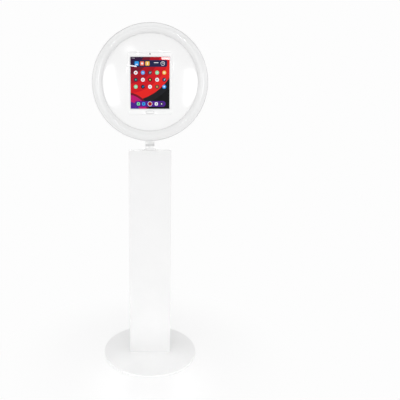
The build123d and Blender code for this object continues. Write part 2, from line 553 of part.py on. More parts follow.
rk_pl = Plane(origin=(-9.9, 0, 0), x_dir=(0, 1, 0), z_dir=(1, 0, 0))
rk = extrude(rk_pl * make_face(Polyline((61.0, 99), (65.0, 88.4), (73.6, 88.4), (72.4, 99), (73.6, 109.6), (65.0, 109.6), close=True)), 19.8)
rk += cylx(67.5, 99, -12.0, 12.0, 1.5)
rk = rk.rotate(Axis((0, 67.5, 99), (1, 0, 0)), 5.0)
save("mains_rocker", rk)

pb2 = box(-50, 50, -26.4, -24.4, 175, 330) + box(-50, 50, -24.6, 14, 175, 177)
pb2 += box(-50, 50, 12, 14, 175, 187)
save("psu_bracket", pb2 - box(-16, 16, -24, 20, 170, 180))
psu = box(-44, 44, -24.3, 11.8, 177.1, 300)
psu = fillet(psu.edges().filter_by(Axis.Z), 2)
for i in range(8):
    psu -= box(-32, 32, 10.8, 12, 200 + 10 * i, 204 + 10 * i)
save("power_supply", psu)

pts = [(0, 43.9, 80), (0, -5, 80), (0, -5, 177.0)]
path = FilletPolyline(*pts, radius=[30])
lead = sweep(Plane(origin=pts[0], z_dir=(0, -1, 0)) * Circle(3.4), path)
print("mains lead volume", round(lead.volume, 1), "section x length", round(math.pi * 3.4 ** 2 * path.length, 1), "length", round(path.length, 1))
save("mains_lead", lead)

print(len(done), "nodes")
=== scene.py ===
import json
import math

import bmesh
import bpy
from mathutils import Matrix, Vector
from mathutils.geometry import delaunay_2d_cdt

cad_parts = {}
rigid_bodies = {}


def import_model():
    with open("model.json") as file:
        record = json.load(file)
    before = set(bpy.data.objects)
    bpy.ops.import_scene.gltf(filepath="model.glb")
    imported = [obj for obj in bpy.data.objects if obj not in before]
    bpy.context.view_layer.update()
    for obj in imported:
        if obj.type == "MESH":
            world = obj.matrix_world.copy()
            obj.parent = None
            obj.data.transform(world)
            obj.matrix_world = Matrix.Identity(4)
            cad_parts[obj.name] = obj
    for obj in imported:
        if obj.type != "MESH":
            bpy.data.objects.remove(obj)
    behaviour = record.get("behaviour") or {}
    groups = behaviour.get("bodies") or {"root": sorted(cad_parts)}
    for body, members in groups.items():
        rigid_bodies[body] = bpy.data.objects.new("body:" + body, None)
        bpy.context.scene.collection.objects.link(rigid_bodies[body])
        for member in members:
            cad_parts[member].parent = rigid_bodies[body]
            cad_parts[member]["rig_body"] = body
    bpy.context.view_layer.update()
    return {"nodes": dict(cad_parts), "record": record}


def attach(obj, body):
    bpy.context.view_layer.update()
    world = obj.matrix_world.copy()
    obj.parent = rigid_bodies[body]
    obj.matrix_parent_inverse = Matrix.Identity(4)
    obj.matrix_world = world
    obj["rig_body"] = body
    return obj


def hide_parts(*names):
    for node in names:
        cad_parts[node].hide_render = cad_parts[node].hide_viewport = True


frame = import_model()
NODES = frame["nodes"]
SLOT_OF = {s["node"]: s["material_slot"] for s in frame["record"]["subparts"]}

# Millimetres below; meshes are written in metres. +Z up, the screen faces -Y.
MM = 0.001
ZC = 1175.0  # middle of the ring
ZS = 1173.0  # middle of the screen
MY = 22.0  # mast axis
PIV_Z = 1130.0
DISC_R = 186.5
SCR_W, SCR_H = 153.5, 199.6  # lit area
# RIM is the width of a grey band round the lit area: painted shade along the screen's edge
RIM = 3.3  # light line around it
TAB_W, TAB_H = 174.1, 250.6
LOCK_Z = 880.0
BR_SCREWS = [(sx, PIV_Z + sz) for sx in (-26, 26) for sz in (-34, 34)]
PANEL_SCREWS = [(sx, sz) for sx in (-79.5, 79.5) for sz in (30, 190, 400, 540, 790, 872)]


# --------------------------------------------------------------------------
# Camera, as the photograph has it
# --------------------------------------------------------------------------
cam_data = bpy.data.cameras.new("camera")
cam = bpy.data.objects.new("camera", cam_data)
bpy.context.scene.collection.objects.link(cam)
cam_data.lens = 37.17
cam_data.sensor_width = 36.0
cam_data.shift_x = 0.125
cam_data.shift_y = -0.05
cam_data.clip_start, cam_data.clip_end = 0.05, 200.0
cam.location = (0.0, -1.733, 1.030)
cam.rotation_euler = (math.radians(90 - 8.30), 0.0, 0.0)
bpy.context.scene.camera = cam


# --------------------------------------------------------------------------
# Materials
# --------------------------------------------------------------------------
def tree(name):
    mat = bpy.data.materials.new(name)
    mat.use_nodes = True
    nt = mat.node_tree
    return mat, nt, nt.nodes["Principled BSDF"]


def add(nt, kind, **values):
    node = nt.nodes.new(kind)
    for key, value in values.items():
        if hasattr(node, key):
            setattr(node, key, value)
        else:
            node.inputs[key.replace("_", " ")].default_value = value
    return node


def link(nt, a, b):
    nt.links.new(a, b)


def noise_of(nt, size_mm, detail=2.0, rough=0.5, stretch=None, warp=0.0):
    """A noise with features of about size_mm, in the piece's own coordinates."""
    tc = add(nt, "ShaderNodeTexCoord")
    source = tc.outputs["Object"]
    if stretch:
        mp = add(nt, "ShaderNodeMapping")
        mp.inputs["Scale"].default_value = stretch
        link(nt, source, mp.inputs["Vector"])
        source = mp.outputs["Vector"]
    n = add(nt, "ShaderNodeTexNoise")
    n.inputs["Scale"].default_value = 1000.0 / size_mm
    n.inputs["Detail"].default_value = detail
    n.inputs["Roughness"].default_value = rough
    n.inputs["Distortion"].default_value = warp
    link(nt, source, n.inputs["Vector"])
    return n.outputs["Fac"]


def spread_of(nt, fac, low, high, from_low=0.3, from_high=0.7):
    m = add(nt, "ShaderNodeMapRange")
    m.inputs["From Min"].default_value = from_low
    m.inputs["From Max"].default_value = from_high
    m.inputs["To Min"].default_value = low
    m.inputs["To Max"].default_value = high
    link(nt, fac, m.inputs["Value"])
    return m.outputs["Result"]


def mixed_colour(nt, fac, a, b):
    m = add(nt, "ShaderNodeMix", data_type="RGBA")
    m.inputs["A"].default_value = (*a, 1)
    m.inputs["B"].default_value = (*b, 1)
    link(nt, fac, m.inputs["Factor"])
    return m.outputs["Result"]


def bump_of(nt, fac, strength, depth_mm, under=None):
    b = add(nt, "ShaderNodeBump")
    b.inputs["Strength"].default_value = strength
    b.inputs["Distance"].default_value = depth_mm * MM
    link(nt, fac, b.inputs["Height"])
    if under is not None:
        link(nt, under, b.inputs["Normal"])
    return b.outputs["Normal"]


def shade(value, tint=(1, 1, 1)):
    return tuple(value * t for t in tint)


def surface(name, dark, light, patch_mm, rough, grain_mm, grain_depth, metal=0.0, coat=0.0, coat_rough=0.05,
            rough_mm=None, stretch=None, swirl_mm=None, swirl_depth=0.0, ior=1.5, detail=2.0, sheen=0.0):
    """A painted, moulded, cast or brushed surface: two close tones, uneven gloss and a fine relief."""
    mat, nt, p = tree(name)
    tone = spread_of(nt, noise_of(nt, patch_mm, 3.0, 0.55, stretch), 0.0, 1.0)
    link(nt, mixed_colour(nt, tone, dark, light), p.inputs["Base Color"])
    link(nt, spread_of(nt, noise_of(nt, rough_mm or patch_mm * 0.4, 3.0, 0.6, stretch), rough[0], rough[1]), p.inputs["Roughness"])
    normal = bump_of(nt, noise_of(nt, grain_mm, detail, 0.55, stretch), 1.0, grain_depth)
    if swirl_mm:
        normal = bump_of(nt, noise_of(nt, swirl_mm, 1.0, 0.4), 1.0, swirl_depth, normal)
    link(nt, normal, p.inputs["Normal"])
    p.inputs["Metallic"].default_value = metal
    p.inputs["Coat Weight"].default_value = coat
    p.inputs["Coat Roughness"].default_value = coat_rough
    p.inputs["IOR"].default_value = ior
    if sheen:
        p.inputs["Sheen Weight"].default_value = sheen
    return mat


M = {
    # powder coat: a fine orange peel, a trace of tone drift over the sheet
    "powder_white": surface("powder_white", shade(0.824), shade(0.849), 160, (0.36, 0.46), 1.6, 0.012, rough_mm=30, swirl_mm=9, swirl_depth=0.02),
    "base_white": surface("base_white", shade(0.872), shade(0.902), 140, (0.40, 0.50), 1.5, 0.014, rough_mm=24, swirl_mm=8, swirl_depth=0.02),
    "neck_white": surface("neck_white", shade(0.875), shade(0.895), 60, (0.38, 0.46), 1.2, 0.006, rough_mm=18, ior=1.3),
    # collar flange: a lighter copy of neck_white, painted light that lifts the flange out of the head's shade
    "collar_white": surface("collar_white", shade(0.95), shade(0.965), 60, (0.38, 0.46), 1.2, 0.006, rough_mm=18, ior=1.3),
    "shell_white": surface("shell_white", shade(0.83), shade(0.865), 110, (0.34, 0.44), 0.9, 0.010, rough_mm=22),
    "gloss_white": surface("gloss_white", shade(0.852), shade(0.868), 120, (0.09, 0.13), 45, 0.03, rough_mm=60, coat=1.0, coat_rough=0.065),
    "opal_white": surface("opal_white", shade(0.764, (0.997, 1, 1)), shade(0.784, (0.997, 1, 1)), 70, (0.20, 0.26), 30, 0.006, rough_mm=40, coat=1.0, coat_rough=0.05),
    "key_white": surface("key_white", shade(0.86), shade(0.89), 12, (0.16, 0.24), 0.5, 0.002, coat=0.5),
    "bezel_white": surface("bezel_white", shade(0.855), shade(0.875), 60, (0.05, 0.09), 40, 0.003, coat=1.0, coat_rough=0.02),
    "band_grey": surface("band_grey", shade(0.69), shade(0.745), 1.2, (0.40, 0.50), 0.5, 0.003, metal=0.25, stretch=(0.15, 0.15, 3.0)),
    "mast_chrome": surface("mast_chrome", shade(0.66, (0.99, 0.995, 1)), shade(0.73, (0.99, 0.995, 1)), 14, (0.20, 0.28), 1.0, 0.001, metal=1.0, stretch=(1, 1, 0.12)),
    "zinc_steel": surface("zinc_steel", shade(0.42, (1, 1.0, 1.01)), shade(0.54, (1, 1, 1.02)), 5, (0.28, 0.42), 0.8, 0.004, metal=1.0, rough_mm=3),
    "tablet_silver": surface("tablet_silver", shade(0.72, (0.99, 1, 1.01)), shade(0.76, (0.99, 1, 1.01)), 40, (0.32, 0.38), 0.35, 0.003, metal=1.0),
    "supply_grey": surface("supply_grey", shade(0.50, (1, 1.01, 1.02)), shade(0.60, (1, 1.01, 1.02)), 2.5, (0.38, 0.50), 0.6, 0.004, metal=1.0, stretch=(0.2, 1, 2.4)),
    "bush_ivory": surface("bush_ivory", shade(0.80, (1, 0.975, 0.90)), shade(0.84, (1, 0.98, 0.92)), 20, (0.40, 0.50), 0.8, 0.004),
    "rubber_black": surface("rubber_black", shade(0.035), shade(0.055), 12, (0.70, 0.85), 0.7, 0.02, rough_mm=4),
    "knob_black": surface("knob_black", shade(0.036, (1, 1, 1.05)), shade(0.050, (1, 1, 1.05)), 10, (0.42, 0.55), 0.45, 0.010, rough_mm=3),
    "inlet_black": surface("inlet_black", shade(0.030, (1, 1, 1.06)), shade(0.044, (1, 1, 1.06)), 12, (0.38, 0.52), 0.5, 0.008, rough_mm=4),
    "lead_black": surface("lead_black", shade(0.030), shade(0.045), 8, (0.45, 0.60), 0.5, 0.006),
    "lead_white": surface("lead_white", shade(0.80), shade(0.85), 10, (0.35, 0.48), 0.5, 0.004),
    "board_white": surface("board_white", shade(0.80, (1, 1, 0.97)), shade(0.85, (1, 1, 0.98)), 8, (0.34, 0.46), 0.4, 0.004),
    "board_green": surface("board_green", (0.035, 0.20, 0.09), (0.05, 0.27, 0.12), 3, (0.30, 0.45), 0.5, 0.006),
    "led_yellow": surface("led_yellow", (0.80, 0.62, 0.18), (0.86, 0.70, 0.26), 2, (0.25, 0.40), 0.3, 0.004),
    "tray_black": surface("tray_black", shade(0.06), shade(0.085), 20, (0.45, 0.58), 0.9, 0.008),
    "foam_grey": surface("foam_grey", shade(0.14), shade(0.22), 1.4, (0.85, 0.95), 0.7, 0.10, sheen=0.2),
    "battery_black": surface("battery_black", shade(0.05), shade(0.075), 16, (0.30, 0.45), 2.2, 0.02),
    "lens_black": surface("lens_black", (0.010, 0.011, 0.018), (0.018, 0.018, 0.030), 2, (0.04, 0.08), 3, 0.001, coat=1.0, coat_rough=0.02),
    "screen_dark": surface("screen_dark", shade(0.010), shade(0.018), 30, (0.06, 0.10), 40, 0.004, coat=1.0, coat_rough=0.02),
    "brass": surface("brass", (0.62, 0.46, 0.20), (0.70, 0.53, 0.26), 4, (0.20, 0.32), 0.5, 0.002, metal=1.0),
    "print_white": surface("print_white", shade(0.78), shade(0.84), 3, (0.40, 0.50), 0.4, 0.002),
    "print_grey": surface("print_grey", shade(0.16), shade(0.20), 3, (0.40, 0.50), 0.4, 0.002),
    "ring_silver": surface("ring_silver", shade(0.46), shade(0.54), 1.0, (0.26, 0.36), 0.4, 0.002, metal=0.6),
    # grey of the band round the screen: painted shade along the window's edge
    "mask_grey": surface("mask_grey", shade(0.66, (0.99, 0.99, 1)), shade(0.70, (0.99, 0.99, 1)), 6, (0.16, 0.24), 5, 0.001),
    "cap_grey": surface("cap_grey", shade(0.20), shade(0.24), 8, (0.30, 0.40), 0.5, 0.004),
}


# --------------------------------------------------------------------------
# Mesh tools
# --------------------------------------------------------------------------
def rounded(corners, seg=6, closed=True):
    """(a, b, radius) corners to a line with tangent arcs."""
    out, n = [], len(corners)
    for i, (x, y, r) in enumerate(corners):
        if r <= 0 or (not closed and i in (0, n - 1)):
            out.append((x, y))
            continue
        p = Vector((x, y))
        a, b = Vector(corners[i - 1][:2]) - p, Vector(corners[(i + 1) % n][:2]) - p
        la, lb = a.length, b.length
        a.normalize()
        b.normalize()
        half = math.acos(max(-1.0, min(1.0, a.dot(b)))) / 2
        t = min(r / math.tan(half), la * 0.499, lb * 0.499)
        rr = t * math.tan(half)
        c = p + (a + b).normalized() * (rr / math.sin(half))
        s, e = p + a * t, p + b * t
        a0, a1 = math.atan2(s.y - c.y, s.x - c.x), math.atan2(e.y - c.y, e.x - c.x)
        d = (a1 - a0 + math.pi) % (2 * math.pi) - math.pi
        out += [(c.x + rr * math.cos(a0 + d * k / seg), c.y + rr * math.sin(a0 + d * k / seg)) for k in range(seg + 1)]
    return out


def ccw(loop):
    area = sum(loop[i - 1][0] * p[1] - p[0] * loop[i - 1][1] for i, p in enumerate(loop))
    return loop if area > 0 else loop[::-1]


def rrect(w, h, r, cx=0.0, cy=0.0, seg=8):
    r = min(r, w / 2 - 0.01, h / 2 - 0.01)
    return ccw(rounded([(cx - w / 2, cy - h / 2, r), (cx + w / 2, cy - h / 2, r), (cx + w / 2, cy + h / 2, r), (cx - w / 2, cy + h / 2, r)], seg))


def circle(r, cx=0.0, cy=0.0, n=48):
    return [(cx + r * math.cos(2 * math.pi * k / n), cy + r * math.sin(2 * math.pi * k / n)) for k in range(n)]


def inset(loop, d):
    """A counter-clockwise loop moved inwards by d."""
    if not d:
        return list(loop)
    out, n = [], len(loop)
    for i in range(n):
        a, b, c = (Vector(loop[j % n]) for j in (i - 1, i, i + 1))
        t1, t2 = (b - a).normalized(), (c - b).normalized()
        n1, n2 = Vector((-t1.y, t1.x)), Vector((-t2.y, t2.x))
        k = d / max(1.0 + n1.dot(n2), 0.2)
        out.append(tuple(b + (n1 + n2) * k))
    return out


def placed(plane, u, v, h, at=(0.0, 0.0)):
    """front: u is X, v is Z, h is Y. top: u is X, v is Y, h is Z. side: u is Y, v is Z, h is X."""
    if plane == "front":
        return Vector((u + at[0], h, v + at[1])) * MM
    if plane == "top":
        return Vector((u + at[0], v + at[1], h)) * MM
    return Vector((h, u + at[0], v + at[1])) * MM


def skin(bm, a, b):
    n = len(a)
    for k in range(n):
        quad = [a[k], a[(k + 1) % n], b[(k + 1) % n], b[k]]
        if len(set(quad)) == 4:
            bm.faces.new(quad)


def cap(bm, loops):
    edges = [bm.edges.get((loop[k - 1], loop[k])) or bm.edges.new((loop[k - 1], loop[k])) for loop in loops for k in range(len(loop))]
    bmesh.ops.triangle_fill(bm, use_beauty=True, use_dissolve=False, edges=edges)


def stack(bm, outer, levels, plane, holes=(), at=(0.0, 0.0), caps=(True, True)):
    """A plate with this outline and these holes. levels are (inset, height) from one face to the other."""
    loops = [ccw(outer)] + [ccw(h) for h in holes]
    rows = []
    for d, h in levels:
        rows.append([[bm.verts.new(placed(plane, u, v, h, at)) for u, v in inset(loop, d if j == 0 else -d)] for j, loop in enumerate(loops)])
    for low, high in zip(rows, rows[1:]):
        for a, b in zip(low, high):
            skin(bm, a, b)
    if caps[0]:
        cap(bm, rows[0])
    if caps[1]:
        cap(bm, rows[-1])
    return rows


def edge_round(h0, h1, r, seg=3, both=True):
    """Levels of a plate from h0 to h1 whose rims are rounded by r."""
    s = 1 if h1 > h0 else -1
    first = [(r * (1 - math.sin(math.pi / 2 * k / seg)), h0 + s * r * (1 - math.cos(math.pi / 2 * k / seg))) for k in range(seg + 1)] if both else [(0.0, h0)]
    last = [(r * (1 - math.cos(math.pi / 2 * k / seg)), h1 - s * r * (1 - math.sin(math.pi / 2 * k / seg))) for k in range(seg + 1)]
    return first + last


def lathe(bm, profile, plane="front", at=(0.0, 0.0), n=192, closed=True):
    """Turned solid from a closed (radius, height) profile about the axis normal to the plane."""
    rings = []
    for r, h in profile:
        if r < 1e-6:
            rings.append([bm.verts.new(placed(plane, 0, 0, h, at))])
        else:
            rings.append([bm.verts.new(placed(plane, r * math.sin(2 * math.pi * k / n), r * math.cos(2 * math.pi * k / n), h, at)) for k in range(n)])
    m = len(rings)
    for i in range(m if closed else m - 1):
        a, b = rings[i], rings[(i + 1) % m]
        if len(a) == 1 and len(b) == 1:
            continue
        for k in range(n):
            k2 = (k + 1) % n
            if len(a) == 1:
                bm.faces.new((a[0], b[k], b[k2]))
            elif len(b) == 1:
                bm.faces.new((a[k], b[0], a[k2]))
            else:
                bm.faces.new((a[k], b[k], b[k2], a[k2]))
    return rings


def made(name, bm, mats, body, replaces=(), angle=35, weld=True):
    if weld:
        bmesh.ops.remove_doubles(bm, verts=bm.verts, dist=2e-7)
    bmesh.ops.recalc_face_normals(bm, faces=bm.faces)
    me = bpy.data.meshes.new(name)
    bm.to_mesh(me)
    bm.free()
    ob = bpy.data.objects.new(name, me)
    bpy.context.scene.collection.objects.link(ob)
    for m in mats if isinstance(mats, (list, tuple)) else [mats]:
        me.materials.append(M[m] if isinstance(m, str) else m)
    me.shade_smooth()
    me.set_sharp_from_angle(angle=math.radians(angle))
    if body:
        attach(ob, body)
    if replaces:
        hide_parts(*replaces)
    return ob


def cut(ob, bm_cut, angle=35):
    """ob less the solids in bm_cut."""
    bmesh.ops.recalc_face_normals(bm_cut, faces=bm_cut.faces)
    me = bpy.data.meshes.new("cutter")
    bm_cut.to_mesh(me)
    bm_cut.free()
    tool = bpy.data.objects.new("cutter", me)
    bpy.context.scene.collection.objects.link(tool)
    tool.matrix_world = ob.matrix_world
    mod = ob.modifiers.new("cut", "BOOLEAN")
    mod.operation, mod.solver, mod.object = "DIFFERENCE", "EXACT", tool
    bpy.context.view_layer.update()
    new = bpy.data.meshes.new_from_object(ob.evaluated_get(bpy.context.evaluated_depsgraph_get()))
    ob.modifiers.clear()
    old = ob.data
    ob.data = new
    new.name = ob.name
    bpy.data.meshes.remove(old)
    bpy.data.objects.remove(tool)
    bpy.data.meshes.remove(me)
    new.shade_smooth()
    new.set_sharp_from_angle(angle=math.radians(angle))
    return ob


def refined(node, mats=None, width=0.35, seg=2, angle=32, regions=(), name=None, body=None, edges_where=None):
    """The node's own shape with its sharp edges broken by a small radius. regions are (test, material index)."""
    src = NODES[node]
    bm = bmesh.new()
    bm.from_mesh(src.data)
    bmesh.ops.remove_doubles(bm, verts=bm.verts, dist=1e-6)
    bmesh.ops.dissolve_limit(bm, angle_limit=math.radians(0.6), verts=bm.verts, edges=bm.edges)
    for layer in list(bm.loops.layers.float_vector):
        bm.loops.layers.float_vector.remove(layer)
    sharp = [e for e in bm.edges if len(e.link_faces) == 2 and e.calc_face_angle(0.0) > math.radians(angle)
             and (edges_where is None or edges_where((e.verts[0].co + e.verts[1].co) / 2 / MM))]
    bmesh.ops.bevel(bm, geom=sharp, offset=width * MM, offset_type="OFFSET", segments=seg, profile=0.5, affect="EDGES", clamp_overlap=True)
    for f in bm.faces:
        f.material_index = 0
        c = f.calc_center_median() / MM
        for test, index in regions:
            if test(c):
                f.material_index = index
    return made(name or node + "_r", bm, mats or [SLOT_OF[node]], body or src["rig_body"], [node], angle=28, weld=False)


# --------------------------------------------------------------------------
# Floor plate and column
# --------------------------------------------------------------------------
bm = bmesh.new()
lathe(bm, [(0, 3.0)] + rounded([(0, 3.0, 0), (202.4, 3.0, 0.4), (203.0, 3.8, 0.4), (203.0, 11.0, 2.2), (0, 11.0, 0)], 7, closed=False)[1:], "top", n=288)
plate = made("base_plate_r", bm, "base_white", "stand", ["base_plate"], angle=50)
bm = bmesh.new()
for bx in (-70, 70):
    for by in (-14, 56):
        lathe(bm, [(0, 2.0), (9.2, 2.0), (8.6, 3.0), (4.2, 7.4), (4.2, 12.0), (0, 12.0)], "top", (bx, by), n=40)
cut(plate, bm, 50)

C = rounded([(-72, 70.5, 0.2), (-72, 72, 0.2), (-89, 72, 3), (-89, -28, 3), (89, -28, 3), (89, 72, 3), (72, 72, 0.2), (72, 70.5, 0.2),
             (87.5, 70.5, 1.5), (87.5, -26.5, 1.5), (-87.5, -26.5, 1.5), (-87.5, 70.5, 1.5)], 8)
bm = bmesh.new()
stack(bm, C, edge_round(11.0, 898.0, 0.2, 2), "top")
shell = made("column_shell_r", bm, "powder_white", "stand", ["column_shell"], angle=40)
bm = bmesh.new()
for sx, sz in PANEL_SCREWS:
    lathe(bm, [(0, 69.5), (2.1, 69.5), (2.1, 73), (0, 73)], "front", (sx, sz), n=24)
cut(shell, bm, 40)

slots = [rrect(3.2, 16, 1.6, -56 + 14 * i, z) for i in range(9) for z in (808, 830, 142)]
holes = [rrect(116, 590, 1.0, 0, 470), rrect(27.6, 58.6, 1.0, 0, 87), circle(6.5, 0, LOCK_Z)] + slots + [circle(2.05, sx, sz, 20) for sx, sz in PANEL_SCREWS]
bm = bmesh.new()
stack(bm, rrect(171.6, 886.8, 1.0, 0, (11 + 897.8) / 2), edge_round(69.0, 70.5, 0.25, 2), "front", holes)
made("column_rear_panel_r", bm, "powder_white", "stand", ["column_rear_panel"], angle=30)

# Screws: button heads with a hex socket, one shape for all of them
def socket_screw(bm, x, z, seat, top, r_head, r_shank, tip, r_hex, depth, bulge=0.35, n=32):
    """Button-head screw along Y. Its head stands from seat to top, its shank runs to tip."""
    s = 1 if top > seat else -1
    crown = [(r_head * math.cos(a), seat + s * (abs(top - seat) * (1 - bulge) + abs(top - seat) * bulge * math.sin(a)))
             for a in [math.radians(d) for d in (0, 20, 40, 58)]]
    rim = crown[-1]
    hexed = [(r_hex * math.cos(math.pi / 3 * k + math.pi / 6), r_hex * math.sin(math.pi / 3 * k + math.pi / 6)) for k in range(6)]
    rings = []
    prof = [(r_shank, tip), (r_shank, seat), (r_head - 0.15, seat), (r_head, seat + s * 0.15)] + crown
    for r, h in prof:
        rings.append([bm.verts.new(placed("front", r * math.cos(2 * math.pi * k / n), r * math.sin(2 * math.pi * k / n), h, (x, z))) for k in range(n)])
    for a, b in zip(rings, rings[1:]):
        skin(bm, a, b)
    bm.faces.new(rings[0][::-1])
    y1 = rim[1] + s * 0.02
    mouth = [bm.verts.new(placed("front", u, v, y1, (x, z))) for u, v in hexed]
    floor = [bm.verts.new(placed("front", u * 0.97, v * 0.97, y1 - s * depth, (x, z))) for u, v in hexed]
    skin(bm, mouth, floor)
    bm.faces.new(floor)
    cap(bm, [rings[-1], mouth])


bm = bmesh.new()
for sx, sz in PANEL_SCREWS:
    socket_screw(bm, sx, sz, 72.0, 74.0, 4.0, 2.0, 65.0, 1.3, 1.3)
made("rear_panel_screws_r", bm, "zinc_steel", "stand", ["rear_panel_screws"], weld=False)

# --------------------------------------------------------------------------
# Service door, hinges and lock
# --------------------------------------------------------------------------
outer = ccw(rounded([(-66, 160, 0.8), (70, 160, 4), (70, 780, 4), (-66, 780, 0.8)], 8))
holes = [circle(8.1, 46, 470)] + [circle(1.6, -57, hz + dz, 20) for hz in (230, 650) for dz in (12, 48)]
bm = bmesh.new()
stack(bm, outer, edge_round(71.0, 73.0, 0.5, 3), "front", holes)
made("service_door_r", bm, "powder_white", "door", ["service_door"], angle=30)
refined("hinge_leaves_fixed", width=0.2, seg=2)
refined("hinge_leaves_door", width=0.2, seg=2)
refined("hinge_pins", width=0.25, seg=2)
refined("door_lock_cam", width=0.25, seg=2)

# --------------------------------------------------------------------------
# Mains inlet and its rocker
# --------------------------------------------------------------------------
refined("inlet_module", ["inlet_black", "brass"], width=0.4, seg=2,
        regions=[(lambda c: 57.1 < c.y < 66.4 and any(abs(c.x - px) < 1.3 and abs(c.z - pz) < 2.3
                                                      for px, pz in ((-7, 68.5), (0, 72.5), (7, 68.5))), 1)])
refined("mains_rocker", width=0.5, seg=3)


def rocker_place(u, v, lift):
    y = (73.6 - 1.2 * (v - 88.4) / 10.6 if v < 99 else 72.4 + 1.2 * (v - 99) / 10.6) + lift
    p = Vector((u, y - 67.5, v - 99.0))
    p.rotate(Matrix.Rotation(math.radians(5.0), 3, "X"))
    return (p + Vector((0, 67.5, 99.0))) * MM


def marks(bm, place, shapes, h0, h1):
    for outer_loop, inner in shapes:
        rows = [[[bm.verts.new(place(u, v, h)) for u, v in loop] for loop in [ccw(outer_loop)] + ([ccw(inner)] if inner else [])] for h in (h0, h1)]
        for a, b in zip(rows[0], rows[1]):
            skin(bm, a, b)
        for row in rows:
            cap(bm, row)


bm = bmesh.new()
marks(bm, rocker_place, [(rrect(1.1, 5.4, 0.3, 0, 104.4, 3), None), (circle(2.7, 0, 93.6, 32), circle(1.75, 0, 93.6, 32))], -0.15, 0.07)
made("rocker_marks", bm, "print_white", "mains_switch", weld=False)

# --------------------------------------------------------------------------
# Lobed clamping knobs
# --------------------------------------------------------------------------
def lobes(r, lobe, count, n=180, soft=0.8):
    """Outline of a disc with round lobes, the hollows between them softened."""
    out = []
    for k in range(n):
        a = 2 * math.pi * k / n
        phi = (a + math.pi / count) % (2 * math.pi / count) - math.pi / count
        under = lobe * lobe - (r * math.sin(phi)) ** 2
        far = r * math.cos(phi) + math.sqrt(under) if under > 0 else 0.0
        out.append(math.log(math.exp(r / soft) + math.exp(max(far, 0.0) / soft)) * soft if far > 0 else r + 0.02)
    m = len(out)
    for _ in range(3):
        out = [(out[i - 1] + 2 * out[i] + out[(i + 1) % m]) / 4 for i in range(m)]
    top = max(out)
    out = [min(v * (r + lobe - 0.02) / top, r + lobe) for v in out]
    return [(v * math.cos(2 * math.pi * k / n), v * math.sin(2 * math.pi * k / n)) for k, v in enumerate(out)]


def clamp_knob(name, node, body, plane, at, h0, h1, hub, hub_r, stud):
    """h0 is the side against the machine, h1 the face that the hand meets."""
    s = 1 if h1 > h0 else -1
    bm = bmesh.new()
    shape = lobes(15.0, 4.6, 6)
    levels = [(1.2, h0), (0.4, h0 + s * 0.5), (0.0, h0 + s * 1.4), (0.15, h0 + s * 9), (0.5, h1 - s * 4.2)]
    levels += [(0.5 + 2.4 * (1 - math.cos(t)), h1 - s * 3.2 + s * 2.6 * math.sin(t)) for t in [math.radians(d) for d in (8, 22, 38, 54, 70, 86)]]
    recess = circle(8.6, 0, 0, 64)
    rows = stack(bm, shape, levels, plane, at=at, caps=(True, False))
    lip = [bm.verts.new(placed(plane, u, v, h1 - s * 0.15, at)) for u, v in recess]
    wall = [bm.verts.new(placed(plane, u * 0.985, v * 0.985, h1 - s * 1.6, at)) for u, v in recess]
    cap(bm, [rows[-1][0], lip])
    skin(bm, lip, wall)
    bm.faces.new(wall)
    body_faces = len(bm.faces)
    # pressed-in cover disc, slightly crowned
    disc = [(0, h1 - s * 1.7), (8.1, h1 - s * 1.7), (8.1, h1 - s * 0.9), (7.8, h1 - s * 0.55), (6.6, h1 - s * 0.3), (4, h1 - s * 0.12), (0, h1 - s * 0.05)]
    lathe(bm, disc, plane, at, n=64)
    disc_faces = len(bm.faces)
    lathe(bm, [(0, hub), (hub_r - 0.5, hub), (hub_r, hub + s * 0.5), (hub_r, h0 + s * 0.6), (0, h0 + s * 0.6)], plane, at, n=64)
    hub_faces = len(bm.faces)
    if stud:
        r, end = stud
        pitch, turns = [], int(abs(hub - end) / 1.25)
        for k in range(turns):
            y = end + s * 1.25 * k
            pitch += [(r - 0.62, y + s * 0.35), (r, y + s * 0.80)]
        lathe(bm, [(0, end), (r - 0.7, end)] + pitch + [(r - 0.7, hub + s * 0.4), (0, hub + s * 0.4)], plane, at, n=32)
    for i, f in enumerate(bm.faces):
        f.material_index = 1 if body_faces <= i < disc_faces else 2 if i >= hub_faces else 0
    return made(name, bm, ["knob_black", "cap_grey", "zinc_steel"], body, [node], angle=40, weld=False)


clamp_knob("height_lock_knob_r", "height_lock_knob", "height_lock", "front", (0, LOCK_Z), 76.0, 98.0, 71.2, 9.0, (4.0, 38.4))
clamp_knob("tilt_knob_r", "tilt_knob", "tilt_lock", "side", (MY, PIV_Z), 23.0, 45.0, 20.4, 9.5, None)

# --------------------------------------------------------------------------
# Neck: collar, mast, swivel band, post, knuckle and tilt bracket
# --------------------------------------------------------------------------
# the collar flange wears the lighter copy of the neck paint: painted light against the head's shade
bm = bmesh.new()
prof = rounded([(18.1, 903.0, 0), (30.0, 903.0, 0.2), (30.0, 908.0, 1.2), (19.7, 908.0, 0.9), (19.7, 920.2, 0.5), (18.1, 920.2, 0.3)], 5)
lathe(bm, prof, "top", (0, MY), n=128)
collar = made("collar_flange_r", bm, "collar_white", "stand", ["collar_flange"], angle=40)
C_SCREWS = [(25 * math.cos(math.radians(a)), MY + 25 * math.sin(math.radians(a))) for a in (45, 135, 225, 315)]
bm = bmesh.new()
for cx, cy in C_SCREWS:
    lathe(bm, [(0, 902), (2.05, 902), (2.05, 905.7), (4.15, 908.0), (4.15, 909), (0, 909)], "top", (cx, cy), n=32)
cut(collar, bm, 40)

bm = bmesh.new()
hub = rounded([(6.5, 888, 0.3), (13.45, 888, 0.4), (13.45, 920.5, 0), (19.5, 920.5, 0.5), (19.5, 928.8, 0.5), (10.0, 928.8, 0.2), (10.0, 979.6, 0),
               (9.2, 979.6, 0), (9.2, 981.0, 0), (10.0, 981.0, 0), (10.0, 985.0, 0.5), (6.5, 985.0, 0.3)], 4)
lathe(bm, hub, "top", (0, MY), n=128)
made("swivel_hub_r", bm, "band_grey", "mast", ["swivel_hub"], angle=30)

